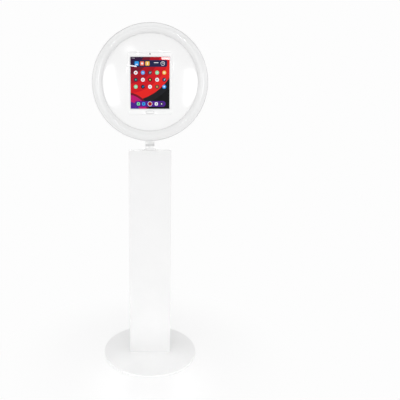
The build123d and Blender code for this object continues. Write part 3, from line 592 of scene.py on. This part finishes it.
bm = bmesh.new()
lathe(bm, rounded([(17.0, 929.1, 0.3), (19.5, 929.1, 0.6), (19.5, 1098.0, 0.15), (17.0, 1098.0, 0.15)], 4), "top", (0, MY), n=128)
made("post_tube_r", bm, "neck_white", "post", ["post_tube"], angle=30)

bm = bmesh.new()
lathe(bm, rounded([(13.5, 480, 0.3), (16.0, 480, 0.5), (16.0, 920.5, 0.2), (13.5, 920.5, 0.2)], 3), "top", (0, MY), n=96)
made("mast_tube_r", bm, "mast_chrome", "mast", ["mast_tube"], angle=30)

refined("post_knuckle", width=0.9, seg=3)
refined("tilt_bracket", width=0.5, seg=2)
refined("tilt_washers", width=0.12, seg=1)
refined("tilt_bolt", width=0.3, seg=2)
bm = bmesh.new()
for sx, sz in BR_SCREWS:
    socket_screw(bm, sx, sz, -8.0, -4.6, 5.0, 3.0, -44.0, 2.1, 2.0, 0.5)
made("bracket_screws_r", bm, "zinc_steel", "head", ["bracket_screws"], weld=False)

# --------------------------------------------------------------------------
# Head: housing, diffuser, rear cover
# --------------------------------------------------------------------------
HEAD = (0.0, ZC)


def ring_xz(r, n, a0=0.0):
    for i in range(n):
        a = math.radians(a0 + 360.0 * i / n)
        yield r * math.sin(a), ZC + r * math.cos(a)


bm = bmesh.new()
RO, RI, RM = 21.0, 18.5, 207.5
outer_arc = [(RM - RO * math.cos(math.pi * k / 40), -60 - RO * math.sin(math.pi * k / 40)) for k in range(41)]
inner_arc = [(RM + RI * math.cos(math.pi * k / 24), -60 - RI * math.sin(math.pi * k / 24)) for k in range(25)]
prof = [(RM - RO, -47.0), (RM - RO, -53.0)] + outer_arc + [(RM + RO, -53.0), (RM + RO, -47.0), (RM + RI, -47.0)] + inner_arc + [(RM - RI, -47.0)]
lathe(bm, prof, "front", HEAD, n=288)
made("ring_diffuser_r", bm, "opal_white", "head", ["ring_diffuser"], angle=50)

bm = bmesh.new()
prof = rounded([(183, -64.8, 0.6), (185, -64.8, 0.6), (185, -42, 0.8), (228.7, -42, 0.8), (228.7, -62, 0.35), (230, -62, 0.55), (230, -40, 0.4), (183, -40, 0.4)], 4)
lathe(bm, prof, "front", HEAD, n=288)
made("ring_housing_r", bm, "shell_white", "head", ["ring_housing"], angle=50)

bm = bmesh.new()
prof = rounded([(0, -12, 0), (152, -12, 26), (170, -17.2, 16), (206, -31.3, 26), (226.0, -35.4, 2.0), (229.5, -37.4, 0.9), (229.5, -40, 0.3),
                (206, -40, 0.5), (203.5, -34.2, 1), (167, -19.3, 6), (157.5, -15.8, 6), (149.6, -14.5, 4), (0, -14.5, 0)], 7, closed=False)
lathe(bm, prof, "front", HEAD, n=288)
cover = made("rear_cover_r", bm, "shell_white", "head", ["rear_cover"], angle=50)
bm = bmesh.new()


def bore(bm, x, z, r, y0, y1, n=32):
    lathe(bm, [(0, y0), (r, y0), (r, y1), (0, y1)], "front", (x, z), n=n)


for sx, sz in BR_SCREWS:
    bore(bm, sx, sz, 3.1, -20, 0)
bore(bm, 0, PIV_Z, 8, -20, 0)
KN_X, KN_Z = 78.0, ZC + 62.0
bore(bm, KN_X, KN_Z, 4.2, -20, 0)
for i in range(9):
    stack(bm, rrect(3.6, 44, 1.8, -48 + 12 * i, ZC + 118, 5), [(0, -20), (0, -6)], "front")
    stack(bm, rrect(3.6, 30, 1.8, -48 + 12 * i, ZC - 128, 5), [(0, -20), (0, -6)], "front")
for sx, sz in ring_xz(217, 8):
    lathe(bm, [(0, -42), (2.1, -42), (2.1, -37.2), (4.2, -37.2), (4.2, -20), (0, -20)], "front", (sx, sz), n=32)
cut(cover, bm, 50)

bm = bmesh.new()
for sx, sz in ring_xz(217, 8):
    socket_screw(bm, sx, sz, -37.2, -35.4, 3.8, 2.0, -41.8, 1.3, 1.0)
for sx, sz in ring_xz(191.5, 8, 22.5):
    socket_screw(bm, sx, sz, -37.5, -35.5, 3.8, 2.0, -41.9, 1.3, 1.0)
made("housing_screws_r", bm, "zinc_steel", "head", ["housing_screws"], weld=False)

# --------------------------------------------------------------------------
# Glossy front panel with its window
# --------------------------------------------------------------------------
def dome(r, y0, sag=3.0):
    return y0 + sag * (r / DISC_R) ** 2


def radial(outline, angles, cx=0.0, cz=0.0):
    """Where rays from (cx, cz) at these angles meet a loop."""
    out, n = [], len(outline)
    polar = sorted(((math.atan2(u - cx, v - cz)) % (2 * math.pi), u, v) for u, v in outline)
    for a in angles:
        a %= 2 * math.pi
        j = next((i for i, p in enumerate(polar) if p[0] > a), 0)
        (_, u0, v0), (_, u1, v1) = polar[j - 1], polar[j]
        dx, dz = math.sin(a), math.cos(a)
        ex, ez = u1 - u0, v1 - v0
        den = dx * ez - dz * ex
        t = ((u0 - cx) * ez - (v0 - cz) * ex) / den
        out.append((cx + dx * t, cz + dz * t))
    return out


N_PANEL = 480
angles = [2 * math.pi * k / N_PANEL for k in range(N_PANEL)]
window = rrect(172.4, 241.0, 9.0, 0, ZS - 3.0, 12)
pocket = rrect(174.9, 251.4, 12.4, 0, ZS, 12)
win = radial(window, angles, 0, ZC)
poc = radial(pocket, angles, 0, ZC)


def front_row(points, y_of):
    return [(u, y_of(u, v), v) for u, v in points]


def rad(u, v):
    return math.hypot(u, v - ZC)


loops = []
# window wall from the lip's rear face forward, over a rounded edge, out across the dome
loops.append(front_row(poc, lambda u, v: -67.9))
loops.append(front_row(poc, lambda u, v: -69.1))
loops.append(front_row(win, lambda u, v: -69.1))
edge = 0.9
for k in range(5):
    t = math.pi / 2 * k / 4
    d, dy = edge * (1 - math.cos(t)), edge * (1 - math.sin(t))
    pts = [(u + (u / max(rad(u, v), 1)) * d, v + ((v - ZC) / max(rad(u, v), 1)) * d) for u, v in win]
    loops.append(front_row(pts, lambda u, v, dy=dy: dome(rad(u, v), -72.0) + dy))
start = [(u + (u / max(rad(u, v), 1)) * edge, v + ((v - ZC) / max(rad(u, v), 1)) * edge) for u, v in win]
RIM_R, RIM_E = 188.15, 0.45
rim = [((RIM_R - RIM_E) * math.sin(a), ZC + (RIM_R - RIM_E) * math.cos(a)) for a in angles]
for k in range(1, 13):
    t = k / 12
    pts = [(p[0] + (q[0] - p[0]) * t, p[1] + (q[1] - p[1]) * t) for p, q in zip(start, rim)]
    loops.append(front_row(pts, lambda u, v: dome(rad(u, v), -72.0)))
for k in range(1, 5):
    t = math.pi / 2 * k / 4
    r = RIM_R - RIM_E + RIM_E * math.sin(t)
    loops.append([(r * math.sin(a), dome(r, -72.0) + RIM_E * (1 - math.cos(t)), ZC + r * math.cos(a)) for a in angles])
loops.append([(187.35 * math.sin(a), -66.9, ZC + 187.35 * math.cos(a)) for a in angles])
for k in range(1, 6):
    t = 1 - k / 6
    pts = [(p[0] + (187.35 * math.sin(a) - p[0]) * t, p[1] + (ZC + 187.35 * math.cos(a) - p[1]) * t) for p, a in zip(poc, angles)]
    loops.append(front_row(pts, lambda u, v: -67.9 + 1.0 * max(0.0, (rad(u, v) - 120) / 66.5) ** 1.0))
bm = bmesh.new()
rows = [[bm.verts.new(Vector(p) * MM) for p in loop] for loop in loops]
for i in range(len(rows)):
    skin(bm, rows[i], rows[(i + 1) % len(rows)])
made("front_panel_r", bm, "gloss_white", "head", ["front_panel"], angle=40)

# --------------------------------------------------------------------------
# Tablet front: white border glass, camera, home key and lit screen
# --------------------------------------------------------------------------
Y_GLASS = -69.0
KEY_W, KEY_H, KEY_Z = 33.0, 11.4, ZS - 113.6
CAM_Z = ZS + 111.3
bm = bmesh.new()
stack(bm, rrect(TAB_W, TAB_H, 12.0, 0, ZS, 14), [(0.0, -68.2), (0.0, -68.85), (0.05, -68.96), (0.16, -69.0)], "front",
      [rrect(SCR_W + 2 * RIM + 0.04, SCR_H + 2 * RIM + 0.04, 2.2, 0, ZS), rrect(KEY_W + 0.5, KEY_H + 0.5, KEY_H, 0, KEY_Z, 14), circle(2.6, 0, CAM_Z, 40)])
made("tablet_border", bm, "bezel_white", "head", ["cover_glass"], angle=30)
# grey band between the white border and the screen: a flat sheet of painted shade
bm = bmesh.new()
stack(bm, rrect(SCR_W + 2 * RIM, SCR_H + 2 * RIM, 2.2, 0, ZS), [(0, -68.2), (0, -68.98)], "front", [rrect(SCR_W + 0.02, SCR_H + 0.02, 0.6, 0, ZS)])
made("screen_shade_rim", bm, "mask_grey", "head", ["cover_glass"], angle=30)
bm = bmesh.new()
lathe(bm, [(0, -65.2), (3.3, -65.2), (3.3, -68.1), (2.55, -68.1), (2.55, -68.9), (2.1, -68.9), (1.5, -68.5), (0.9, -68.35), (0, -68.3)], "front", (0, CAM_Z), n=48)
made("camera_lens_r", bm, "lens_black", "head", ["camera_lens"], angle=30)

bm = bmesh.new()
pill = rrect(KEY_W, KEY_H, KEY_H, 0, KEY_Z, 16)
rows = stack(bm, pill, [(0.0, -66.4), (0.0, -68.9), (0.12, -69.05), (0.3, -69.1), (1.25, -69.1), (1.4, -69.0), (3.0, -68.93), (4.6, -68.9)], "front")
for f in bm.faces:
    c = f.calc_center_median() / MM
    f.material_index = 1 if c.y < -69.06 else 0
made("home_key_r", bm, ["key_white", "ring_silver"], "home_button", ["home_key"], angle=30)


# The picture on the screen: an own, generic start page of bands and round tiles
def emissive(name, colour, strength):
    mat = surface(name, shade(0.003), shade(0.006), 20, (0.004, 0.012), 60, 0.0002)
    p = mat.node_tree.nodes["Principled BSDF"]
    p.inputs["Specular IOR Level"].default_value = 0.10
    p.inputs["Emission Color"].default_value = (*colour, 1)
    p.inputs["Emission Strength"].default_value = strength
    return mat


def lin(r, g, b):
    return tuple((c / 255 / 12.92) if c < 11 else ((c / 255 + 0.055) / 1.055) ** 2.4 for c in (r, g, b))


UI = {
    "charcoal": lin(3, 4, 8), "coal": lin(20, 21, 27), "plum": lin(44, 12, 52), "wine": lin(112, 6, 34), "crimson": lin(170, 4, 26),
    "red": lin(205, 12, 26), "scarlet": lin(226, 30, 26), "magenta": lin(186, 10, 108), "violet": lin(76, 22, 138), "white": lin(238, 240, 246),
    "mint": lin(126, 218, 164), "yellow": lin(244, 190, 78), "sky": lin(44, 158, 238), "navy": lin(26, 30, 72), "slate": lin(52, 54, 64), "coral": lin(240, 112, 88),
}
ui_names = list(UI)
ui_mats = [emissive("ui_" + n, c, 1.0) for n, c in UI.items()]
W2, H2 = SCR_W / 2, SCR_H / 2
tiles = []  # (outline, colour, tester)


def tile_round(cx, cz, r, colour, n=28):
    tiles.append((circle(r, cx, cz, n), colour, lambda u, v: math.hypot(u - cx, v - cz) < r))


def tile_box(cx, cz, w, h, r, colour, seg=4):
    def inside(u, v):
        dx, dz = abs(u - cx) - (w / 2 - r), abs(v - cz) - (h / 2 - r)
        return (dx <= r and dz <= 0) or (dz <= r and dx <= 0) or (dx > 0 and dz > 0 and math.hypot(dx, dz) <= r * 1.001)
    tiles.append((rrect(w, h, r, cx, cz, seg), colour, inside))


# status strip: three dots and a small gauge
for k in range(3):
    tile_round(-W2 + 7 + 4.2 * k, H2 - 5.0, 1.1, "white", 14)
tile_box(W2 - 11, H2 - 5.0, 9.0, 3.6, 1.2, "slate")
tile_box(W2 - 12.2, H2 - 5.0, 5.4, 2.0, 0.7, "mint", 3)
# a card with a strip of three small frames and a dial
tile_box(0, H2 - 25, SCR_W - 20, 26, 6, "navy")
for k, c in enumerate(("sky", "coral", "yellow")):
    tile_box(-52 + 21 * k, H2 - 25, 16, 16, 3, c)
tile_box(-52, H2 - 28.5, 9, 3.4, 1.6, "white", 3)
tile_round(-31, H2 - 25, 4.2, "white", 20)
tile_box(-10, H2 - 25, 3.0, 10, 1.4, "white", 3)
tile_round(50, H2 - 25, 8.2, "white")
tile_round(50, H2 - 25, 6.6, "navy")
tile_box(50, H2 - 22.6, 1.5, 6.2, 0.7, "white", 3)
tile_box(52, H2 - 25.0, 4.6, 1.5, 0.7, "white", 3)
tile_box(24, H2 - 22, 18, 2.6, 1.2, "white")
tile_box(20.5, H2 - 28, 11, 2.2, 1.0, "slate")
# three rows of round tiles, five to a row
grid = [["white", "sky", "slate", "mint", "yellow"], ["navy", "white", "coal", "white", "navy"], ["mint", "coal", "white", "slate", "sky"]]
glyph = [["coral", "white", "white", "white", "white"], ["mint", "coral", "yellow", "navy", "white"], ["white", "sky", "magenta", "yellow", "white"]]
for j, row in enumerate(grid):
    for i, c in enumerate(row):
        x, z = -56 + 28 * i, H2 - 60 - 27 * j
        tile_round(x, z, 7.6, c)
        g = glyph[j][i]
        kind = (i * 2 + j) % 5
        if kind == 0:
            tile_round(x, z, 3.2, g, 20)
        elif kind == 1:
            tile_box(x, z - 1, 7.2, 2.0, 0.9, g, 3)
            tile_box(x, z + 2.2, 4.4, 1.4, 0.6, g, 3)
        elif kind == 2:
            tile_box(x - 2.2, z, 1.8, 6.6, 0.8, g, 3)
            tile_box(x + 2.2, z, 1.8, 6.6, 0.8, g, 3)
        elif kind == 3:
            tile_box(x, z, 6.4, 6.4, 1.6, g, 3)
            tile_round(x, z, 1.7, c, 16)
        else:
            tile_box(x, z, 1.8, 7.4, 0.8, g, 3)
            tile_round(x + 3.9, z + 2.2, 1.2, g, 12)
# shutter and four buttons at the foot
tile_box(0, -H2 + 19, SCR_W - 30, 22, 10.9, "violet", 8)
tile_round(0, -H2 + 19, 9.2, "white", 36)
tile_round(0, -H2 + 19, 7.6, "crimson", 36)
for x, c in ((-46, "mint"), (-25, "sky"), (25, "white"), (46, "slate")):
    tile_box(x, -H2 + 19, 12.5, 12.5, 3.4, c)
    tile_round(x, -H2 + 19, 2.4, "navy" if c != "slate" else "white", 16)

# broad curved bands about a point off the upper left corner, and a fan in the lower left one
BANDS = [(-95.0, 135.0, [(78, "plum"), (104, "wine"), (138, "crimson"), (176, "red"), (206, "scarlet"), (228, "coal"), (999, "charcoal")]),
         (-92.0, -128.0, [(58, "violet"), (84, "magenta"), (92, "wine")])]


def band_of(u, v):
    for cu, cv, steps in reversed(BANDS):
        d = math.hypot(u - cu, v - cv)
        for limit, colour in steps:
            if d < limit:
                return colour
    return "charcoal"


pts, edges = [], []


def add_loop(loop, closed=True):
    base = len(pts)
    pts.extend(Vector(p) for p in loop)
    edges.extend((base + i, base + i + 1) for i in range(len(loop) - 1))
    if closed:
        edges.append((base + len(loop) - 1, base))


add_loop([(-W2, -H2), (W2, -H2), (W2, H2), (-W2, H2)])
for cu, cv, steps in BANDS:
    for d, _ in steps:
        arc = []
        for k in range(361):
            a = 2 * math.pi * k / 360
            u, v = cu + d * math.cos(a), cv + d * math.sin(a)
            if -W2 - 4 < u < W2 + 4 and -H2 - 4 < v < H2 + 4:
                arc.append((u, v))
            else:
                if len(arc) > 1:
                    add_loop(arc, closed=False)
                arc = []
        if len(arc) > 1:
            add_loop(arc, closed=False)
for loop, _, _ in tiles:
    add_loop(loop)
verts, _, faces, *_ = delaunay_2d_cdt(pts, edges, [], 0, 1e-4)
bm = bmesh.new()
vs = [bm.verts.new(placed("front", v.x, v.y, Y_GLASS, (0, ZS))) for v in verts]
for f in faces:
    c = sum((verts[i] for i in f), Vector((0, 0))) / len(f)
    if abs(c.x) > W2 or abs(c.y) > H2:
        continue
    face = bm.faces.new([vs[i] for i in f])
    colour = band_of(c.x, c.y)
    for _, tint, inside in tiles:
        if inside(c.x, c.y):
            colour = tint
    face.material_index = ui_names.index(colour)
bmesh.ops.delete(bm, geom=[v for v in bm.verts if not v.link_faces], context="VERTS")
rim_edges = [e for e in bm.edges if len(e.link_faces) == 1]
new = bmesh.ops.extrude_edge_only(bm, edges=rim_edges)["geom"]
back = [v for v in new if isinstance(v, bmesh.types.BMVert)]
bmesh.ops.translate(bm, verts=back, vec=(0, 0.78 * MM, 0))
bmesh.ops.contextual_create(bm, geom=[e for e in new if isinstance(e, bmesh.types.BMEdge) and all(v in set(back) for v in e.verts)])
made("screen_face", bm, ui_mats, "head", ["cover_glass"], angle=30)

# --------------------------------------------------------------------------
# Keys on the tablet's edges, foam corners
# --------------------------------------------------------------------------
for key in ("tablet_power_key", "tablet_volume_up_key", "tablet_volume_down_key"):
    refined(key, width=0.45, seg=3)
pads = refined("tablet_corner_pads", width=1.1, seg=3)

# --------------------------------------------------------------------------
# Dimmer: fluted knob with a pointer, and its printed scale
# --------------------------------------------------------------------------
bm = bmesh.new()
rows = []
knob = [(11.5, 0.45, -11.4), (12.0, 0.55, -10.9), (11.8, 0.55, -4.0), (11.75, 0.55, 0.2)]
knob += [(11.75 - 1.9 * (1 - math.cos(math.radians(d))), 0.55 * math.cos(math.radians(d)) ** 2, 0.9 + 1.6 * math.sin(math.radians(d))) for d in (10, 25, 40, 55, 70, 85)]
knob += [(9.2, 0.0, 2.5), (8.9, 0.0, 2.3), (6.0, 0.0, 2.24), (3.0, 0.0, 2.22)]
for r, depth, h in knob:
    rows.append([bm.verts.new(placed("front", (r - depth * max(0.0, math.cos(20 * a)) ** 2) * math.cos(a), (r - depth * max(0.0, math.cos(20 * a)) ** 2) * math.sin(a), h, (KN_X, KN_Z)))
                 for a in [2 * math.pi * k / 240 for k in range(240)]])
for low, high in zip(rows, rows[1:]):
    skin(bm, low, high)
bm.faces.new(rows[0][::-1])
bm.faces.new(rows[-1])
n0 = len(bm.faces)
lathe(bm, [(0, -29.5), (2.7, -29.5), (3.0, -29.2), (3.0, -11.3), (0, -11.3)], "front", (KN_X, KN_Z), n=40)
n1 = len(bm.faces)
stack(bm, rrect(1.3, 6.6, 0.6, 0, 5.2, 4), [(0, 2.1), (0.0, 2.5), (0.12, 2.58)], "front", at=(KN_X, KN_Z))
for i, f in enumerate(bm.faces):
    f.material_index = 2 if i >= n1 else 1 if i >= n0 else 0
made("dimmer_knob_r", bm, ["knob_black", "zinc_steel", "print_white"], "dimmer", ["dimmer_knob"], angle=40, weld=False)

bm = bmesh.new()
shapes = []
for k in range(11):
    # 270 degrees of travel, from the pointer's place at rest
    a = math.radians(90 + 27 * k)
    long = 3.4 if k in (0, 5, 10) else 2.2
    u, v = (15.2 + long / 2) * math.cos(a), (15.2 + long / 2) * math.sin(a)
    bar = [(-long / 2, -0.3), (long / 2, -0.3), (long / 2, 0.3), (-long / 2, 0.3)]
    shapes.append(([(u + x * math.cos(a) - y * math.sin(a), v + x * math.sin(a) + y * math.cos(a)) for x, y in bar], None))
marks(bm, lambda u, v, h: placed("front", u, v, h, (KN_X, KN_Z)), shapes, -12.15, -11.93)
made("dimmer_scale", bm, "print_grey", "head", weld=False)

# --------------------------------------------------------------------------
# Carried-over nodes get their slot's material
# --------------------------------------------------------------------------
for node, ob in NODES.items():
    if ob.hide_render:
        continue
    for s in ob.material_slots:
        s.link = "OBJECT"
        s.material = M[SLOT_OF[node]]
    if not ob.material_slots:
        ob.data.materials.append(M[SLOT_OF[node]])

# --------------------------------------------------------------------------
# Studio: white floor, bright surroundings, two large soft boxes, small strips
# --------------------------------------------------------------------------
bpy.context.scene.view_settings.view_transform = "Standard"
bpy.context.scene.view_settings.look = "None"
bpy.context.scene.view_settings.exposure = 0.0
bpy.context.scene.view_settings.gamma = 1.0

BACKDROP, FLOOR_GLOW = 0.982, 0.615
bm = bmesh.new()
rings = []
for r in (0.0, 0.5, 1.0, 2.0, 4.0, 8.0, 16.0, 40.0):
    rings.append([bm.verts.new((r * math.cos(2 * math.pi * k / 96), r * math.sin(2 * math.pi * k / 96), 0.0)) for k in range(96)] if r else [bm.verts.new((0, 0, 0))])
for a, b in zip(rings, rings[1:]):
    for k in range(96):
        k2 = (k + 1) % 96
        bm.faces.new((a[0], b[k], b[k2]) if len(a) == 1 else (a[k], b[k], b[k2], a[k2]))
mat, nt, p = tree("floor_white")
where = add(nt, "ShaderNodeTexCoord")
far = add(nt, "ShaderNodeVectorMath")
far.operation = "LENGTH"
link(nt, where.outputs["Object"], far.inputs[0])
near = add(nt, "ShaderNodeMapRange")
near.interpolation_type = "SMOOTHSTEP"
near.inputs["From Min"].default_value, near.inputs["From Max"].default_value = 0.26, 0.66
near.inputs["To Min"].default_value, near.inputs["To Max"].default_value = 1.0, 0.0
link(nt, far.outputs["Value"], near.inputs["Value"])
link(nt, mixed_colour(nt, near.outputs["Result"], shade(0.0), shade(0.36)), p.inputs["Base Color"])
glow = spread_of(nt, near.outputs["Result"], BACKDROP, FLOOR_GLOW, 0.0, 1.0)
link(nt, glow, p.inputs["Emission Strength"])
p.inputs["Roughness"].default_value = 0.9
p.inputs["Specular IOR Level"].default_value = 0.0
p.inputs["Emission Color"].default_value = (1, 1, 1, 1)
floor = made("floor", bm, mat, None)

world = bpy.data.worlds.new("studio")
bpy.context.scene.world = world
world.use_nodes = True
wt = world.node_tree
wt.nodes.clear()
out = wt.nodes.new("ShaderNodeOutputWorld")
bg = wt.nodes.new("ShaderNodeBackground")
tc = wt.nodes.new("ShaderNodeTexCoord")
sep = wt.nodes.new("ShaderNodeSeparateXYZ")
wt.links.new(tc.outputs["Generated"], sep.inputs[0])
wt.links.new(bg.outputs[0], out.inputs[0])


def step_of(axis, low, high, up=True):
    m = wt.nodes.new("ShaderNodeMapRange")
    m.interpolation_type = "SMOOTHSTEP"
    m.inputs["From Min"].default_value, m.inputs["From Max"].default_value = low, high
    m.inputs["To Min"].default_value, m.inputs["To Max"].default_value = (0.0, 1.0) if up else (1.0, 0.0)
    wt.links.new(sep.outputs[axis], m.inputs["Value"])
    return m.outputs["Result"]


def sum_of(kind, a, b):
    m = wt.nodes.new("ShaderNodeMath")
    m.operation = kind
    for socket, value in zip(m.inputs, (a, b)):
        if isinstance(value, float):
            socket.default_value = value
        else:
            wt.links.new(value, socket)
    return m.outputs[0]


def band(low, high, side):
    """Part of the sky between two heights, (start, end) of each edge's blend, behind (+Y) or in front (-Y)."""
    parts = []
    if low:
        parts.append(step_of("Z", *low))
    if high:
        parts.append(step_of("Z", *high, up=False))
    if side:
        parts.append(step_of("Y", -0.35, 0.25, up=side > 0))
    got = parts[0]
    for p_ in parts[1:]:
        got = sum_of("MULTIPLY", got, p_)
    return got


def lobe_of(direction, power):
    d = wt.nodes.new("ShaderNodeVectorMath")
    d.operation = "DOT_PRODUCT"
    d.inputs[1].default_value = Vector(direction).normalized()
    wt.links.new(tc.outputs["Generated"], d.inputs[0])
    return sum_of("MULTIPLY", sum_of("POWER", sum_of("MAXIMUM", d.outputs["Value"], 0.0), power), step_of("Z", 0.04, 0.22))


LOW, MID, HIGH, TOP = (0.10, 0.20), (0.28, 0.40), (0.50, 0.64), (0.78, 0.94)
MID_BACK = (0.345, 0.465)
SKY = {
    "horizon": (band(None, LOW, 0), BACKDROP), "backdrop": (band(LOW, MID_BACK, 1), BACKDROP), "back_mid": (band(MID_BACK, HIGH, 1), 0.56),
    "back_high": (band(HIGH, TOP, 1), 0.46), "zenith": (band(TOP, None, 0), 1.02), "room_low": (band(LOW, MID, -1), 0.60),
    "room_mid": (band(MID, HIGH, -1), 0.20), "room_high": (band(HIGH, TOP, -1), 0.48), "key": (lobe_of((-0.16, -0.62, 0.80), 6.0), 0.50),
    "left": (lobe_of((-0.85, -0.35, 0.40), 6.0), 0.79), "right": (lobe_of((0.85, -0.35, 0.40), 6.0), 0.86),
}
total = 0.0
for term, (shape, weight) in SKY.items():
    part = sum_of("MULTIPLY", shape, weight)
    part.node.name = "sky_" + term
    total = part if total == 0.0 else sum_of("ADD", total, part)
mono = wt.nodes.new("ShaderNodeCombineXYZ")
for socket in mono.inputs:
    wt.links.new(total, socket)
wt.links.new(mono.outputs[0], bg.inputs["Color"])
bg.inputs["Strength"].default_value = 1.0


def soft_box(name, centre, size, radiance, turn=0.0, pitch=0.0, round_edge=False, spread=180.0):
    """A rectangular light of that radiance, its face towards +Y, turned in its own plane and pitched about X."""
    light = bpy.data.lights.new(name, "AREA")
    light.shape = "ELLIPSE" if round_edge else "RECTANGLE"
    light.size, light.size_y = size
    light.energy = radiance * math.pi * size[0] * size[1] * (math.pi / 4 if round_edge else 1.0)
    light.spread = math.radians(spread)
    ob = bpy.data.objects.new(name, light)
    bpy.context.scene.collection.objects.link(ob)
    ob.matrix_world = Matrix.Translation(centre) @ Matrix.Rotation(math.radians(pitch), 4, "X") @ Matrix.Rotation(math.radians(turn), 4, "Y") @ Matrix.Rotation(math.radians(90), 4, "X")
    ob.visible_camera = False
    return ob


YL = -1.80
soft_box("box_right", (0.83, YL, 1.275), (0.95, 0.37), 2.3)
soft_box("box_left", (-0.488, YL, 1.286), (0.28, 0.40), 2.6, turn=-8.0)
soft_box("box_left_far", (-1.16, YL, 1.30), (0.34, 0.30), 1.6)
soft_box("blob", (-0.205, YL, 1.660), (0.075, 0.045), 2.0, round_edge=True)
soft_box("blob_halo", (-0.205, YL - 0.01, 1.660), (0.125, 0.075), 1.0, round_edge=True)
soft_box("blob_small", (-0.238, YL, 1.588), (0.020, 0.018), 1.8)
soft_box("strip_right", (0.124, YL, 1.513), (0.064, 0.018), 110.0, turn=1.0)
soft_box("strip_left", (-0.135, YL, 1.455), (0.057, 0.010), 110.0, turn=8.0)
soft_box("foot", (-0.03, -0.95, 0.085), (0.7, 0.12), 2.6)
soft_box("toe", (0.0, -1.80, 0.45), (0.30, 0.12), 0.21, pitch=-10.2, spread=14.0)
soft_box("over_cap", (0.0, 0.45, 2.30), (0.30, 0.16), 0.38, pitch=-107.2, spread=10.0)
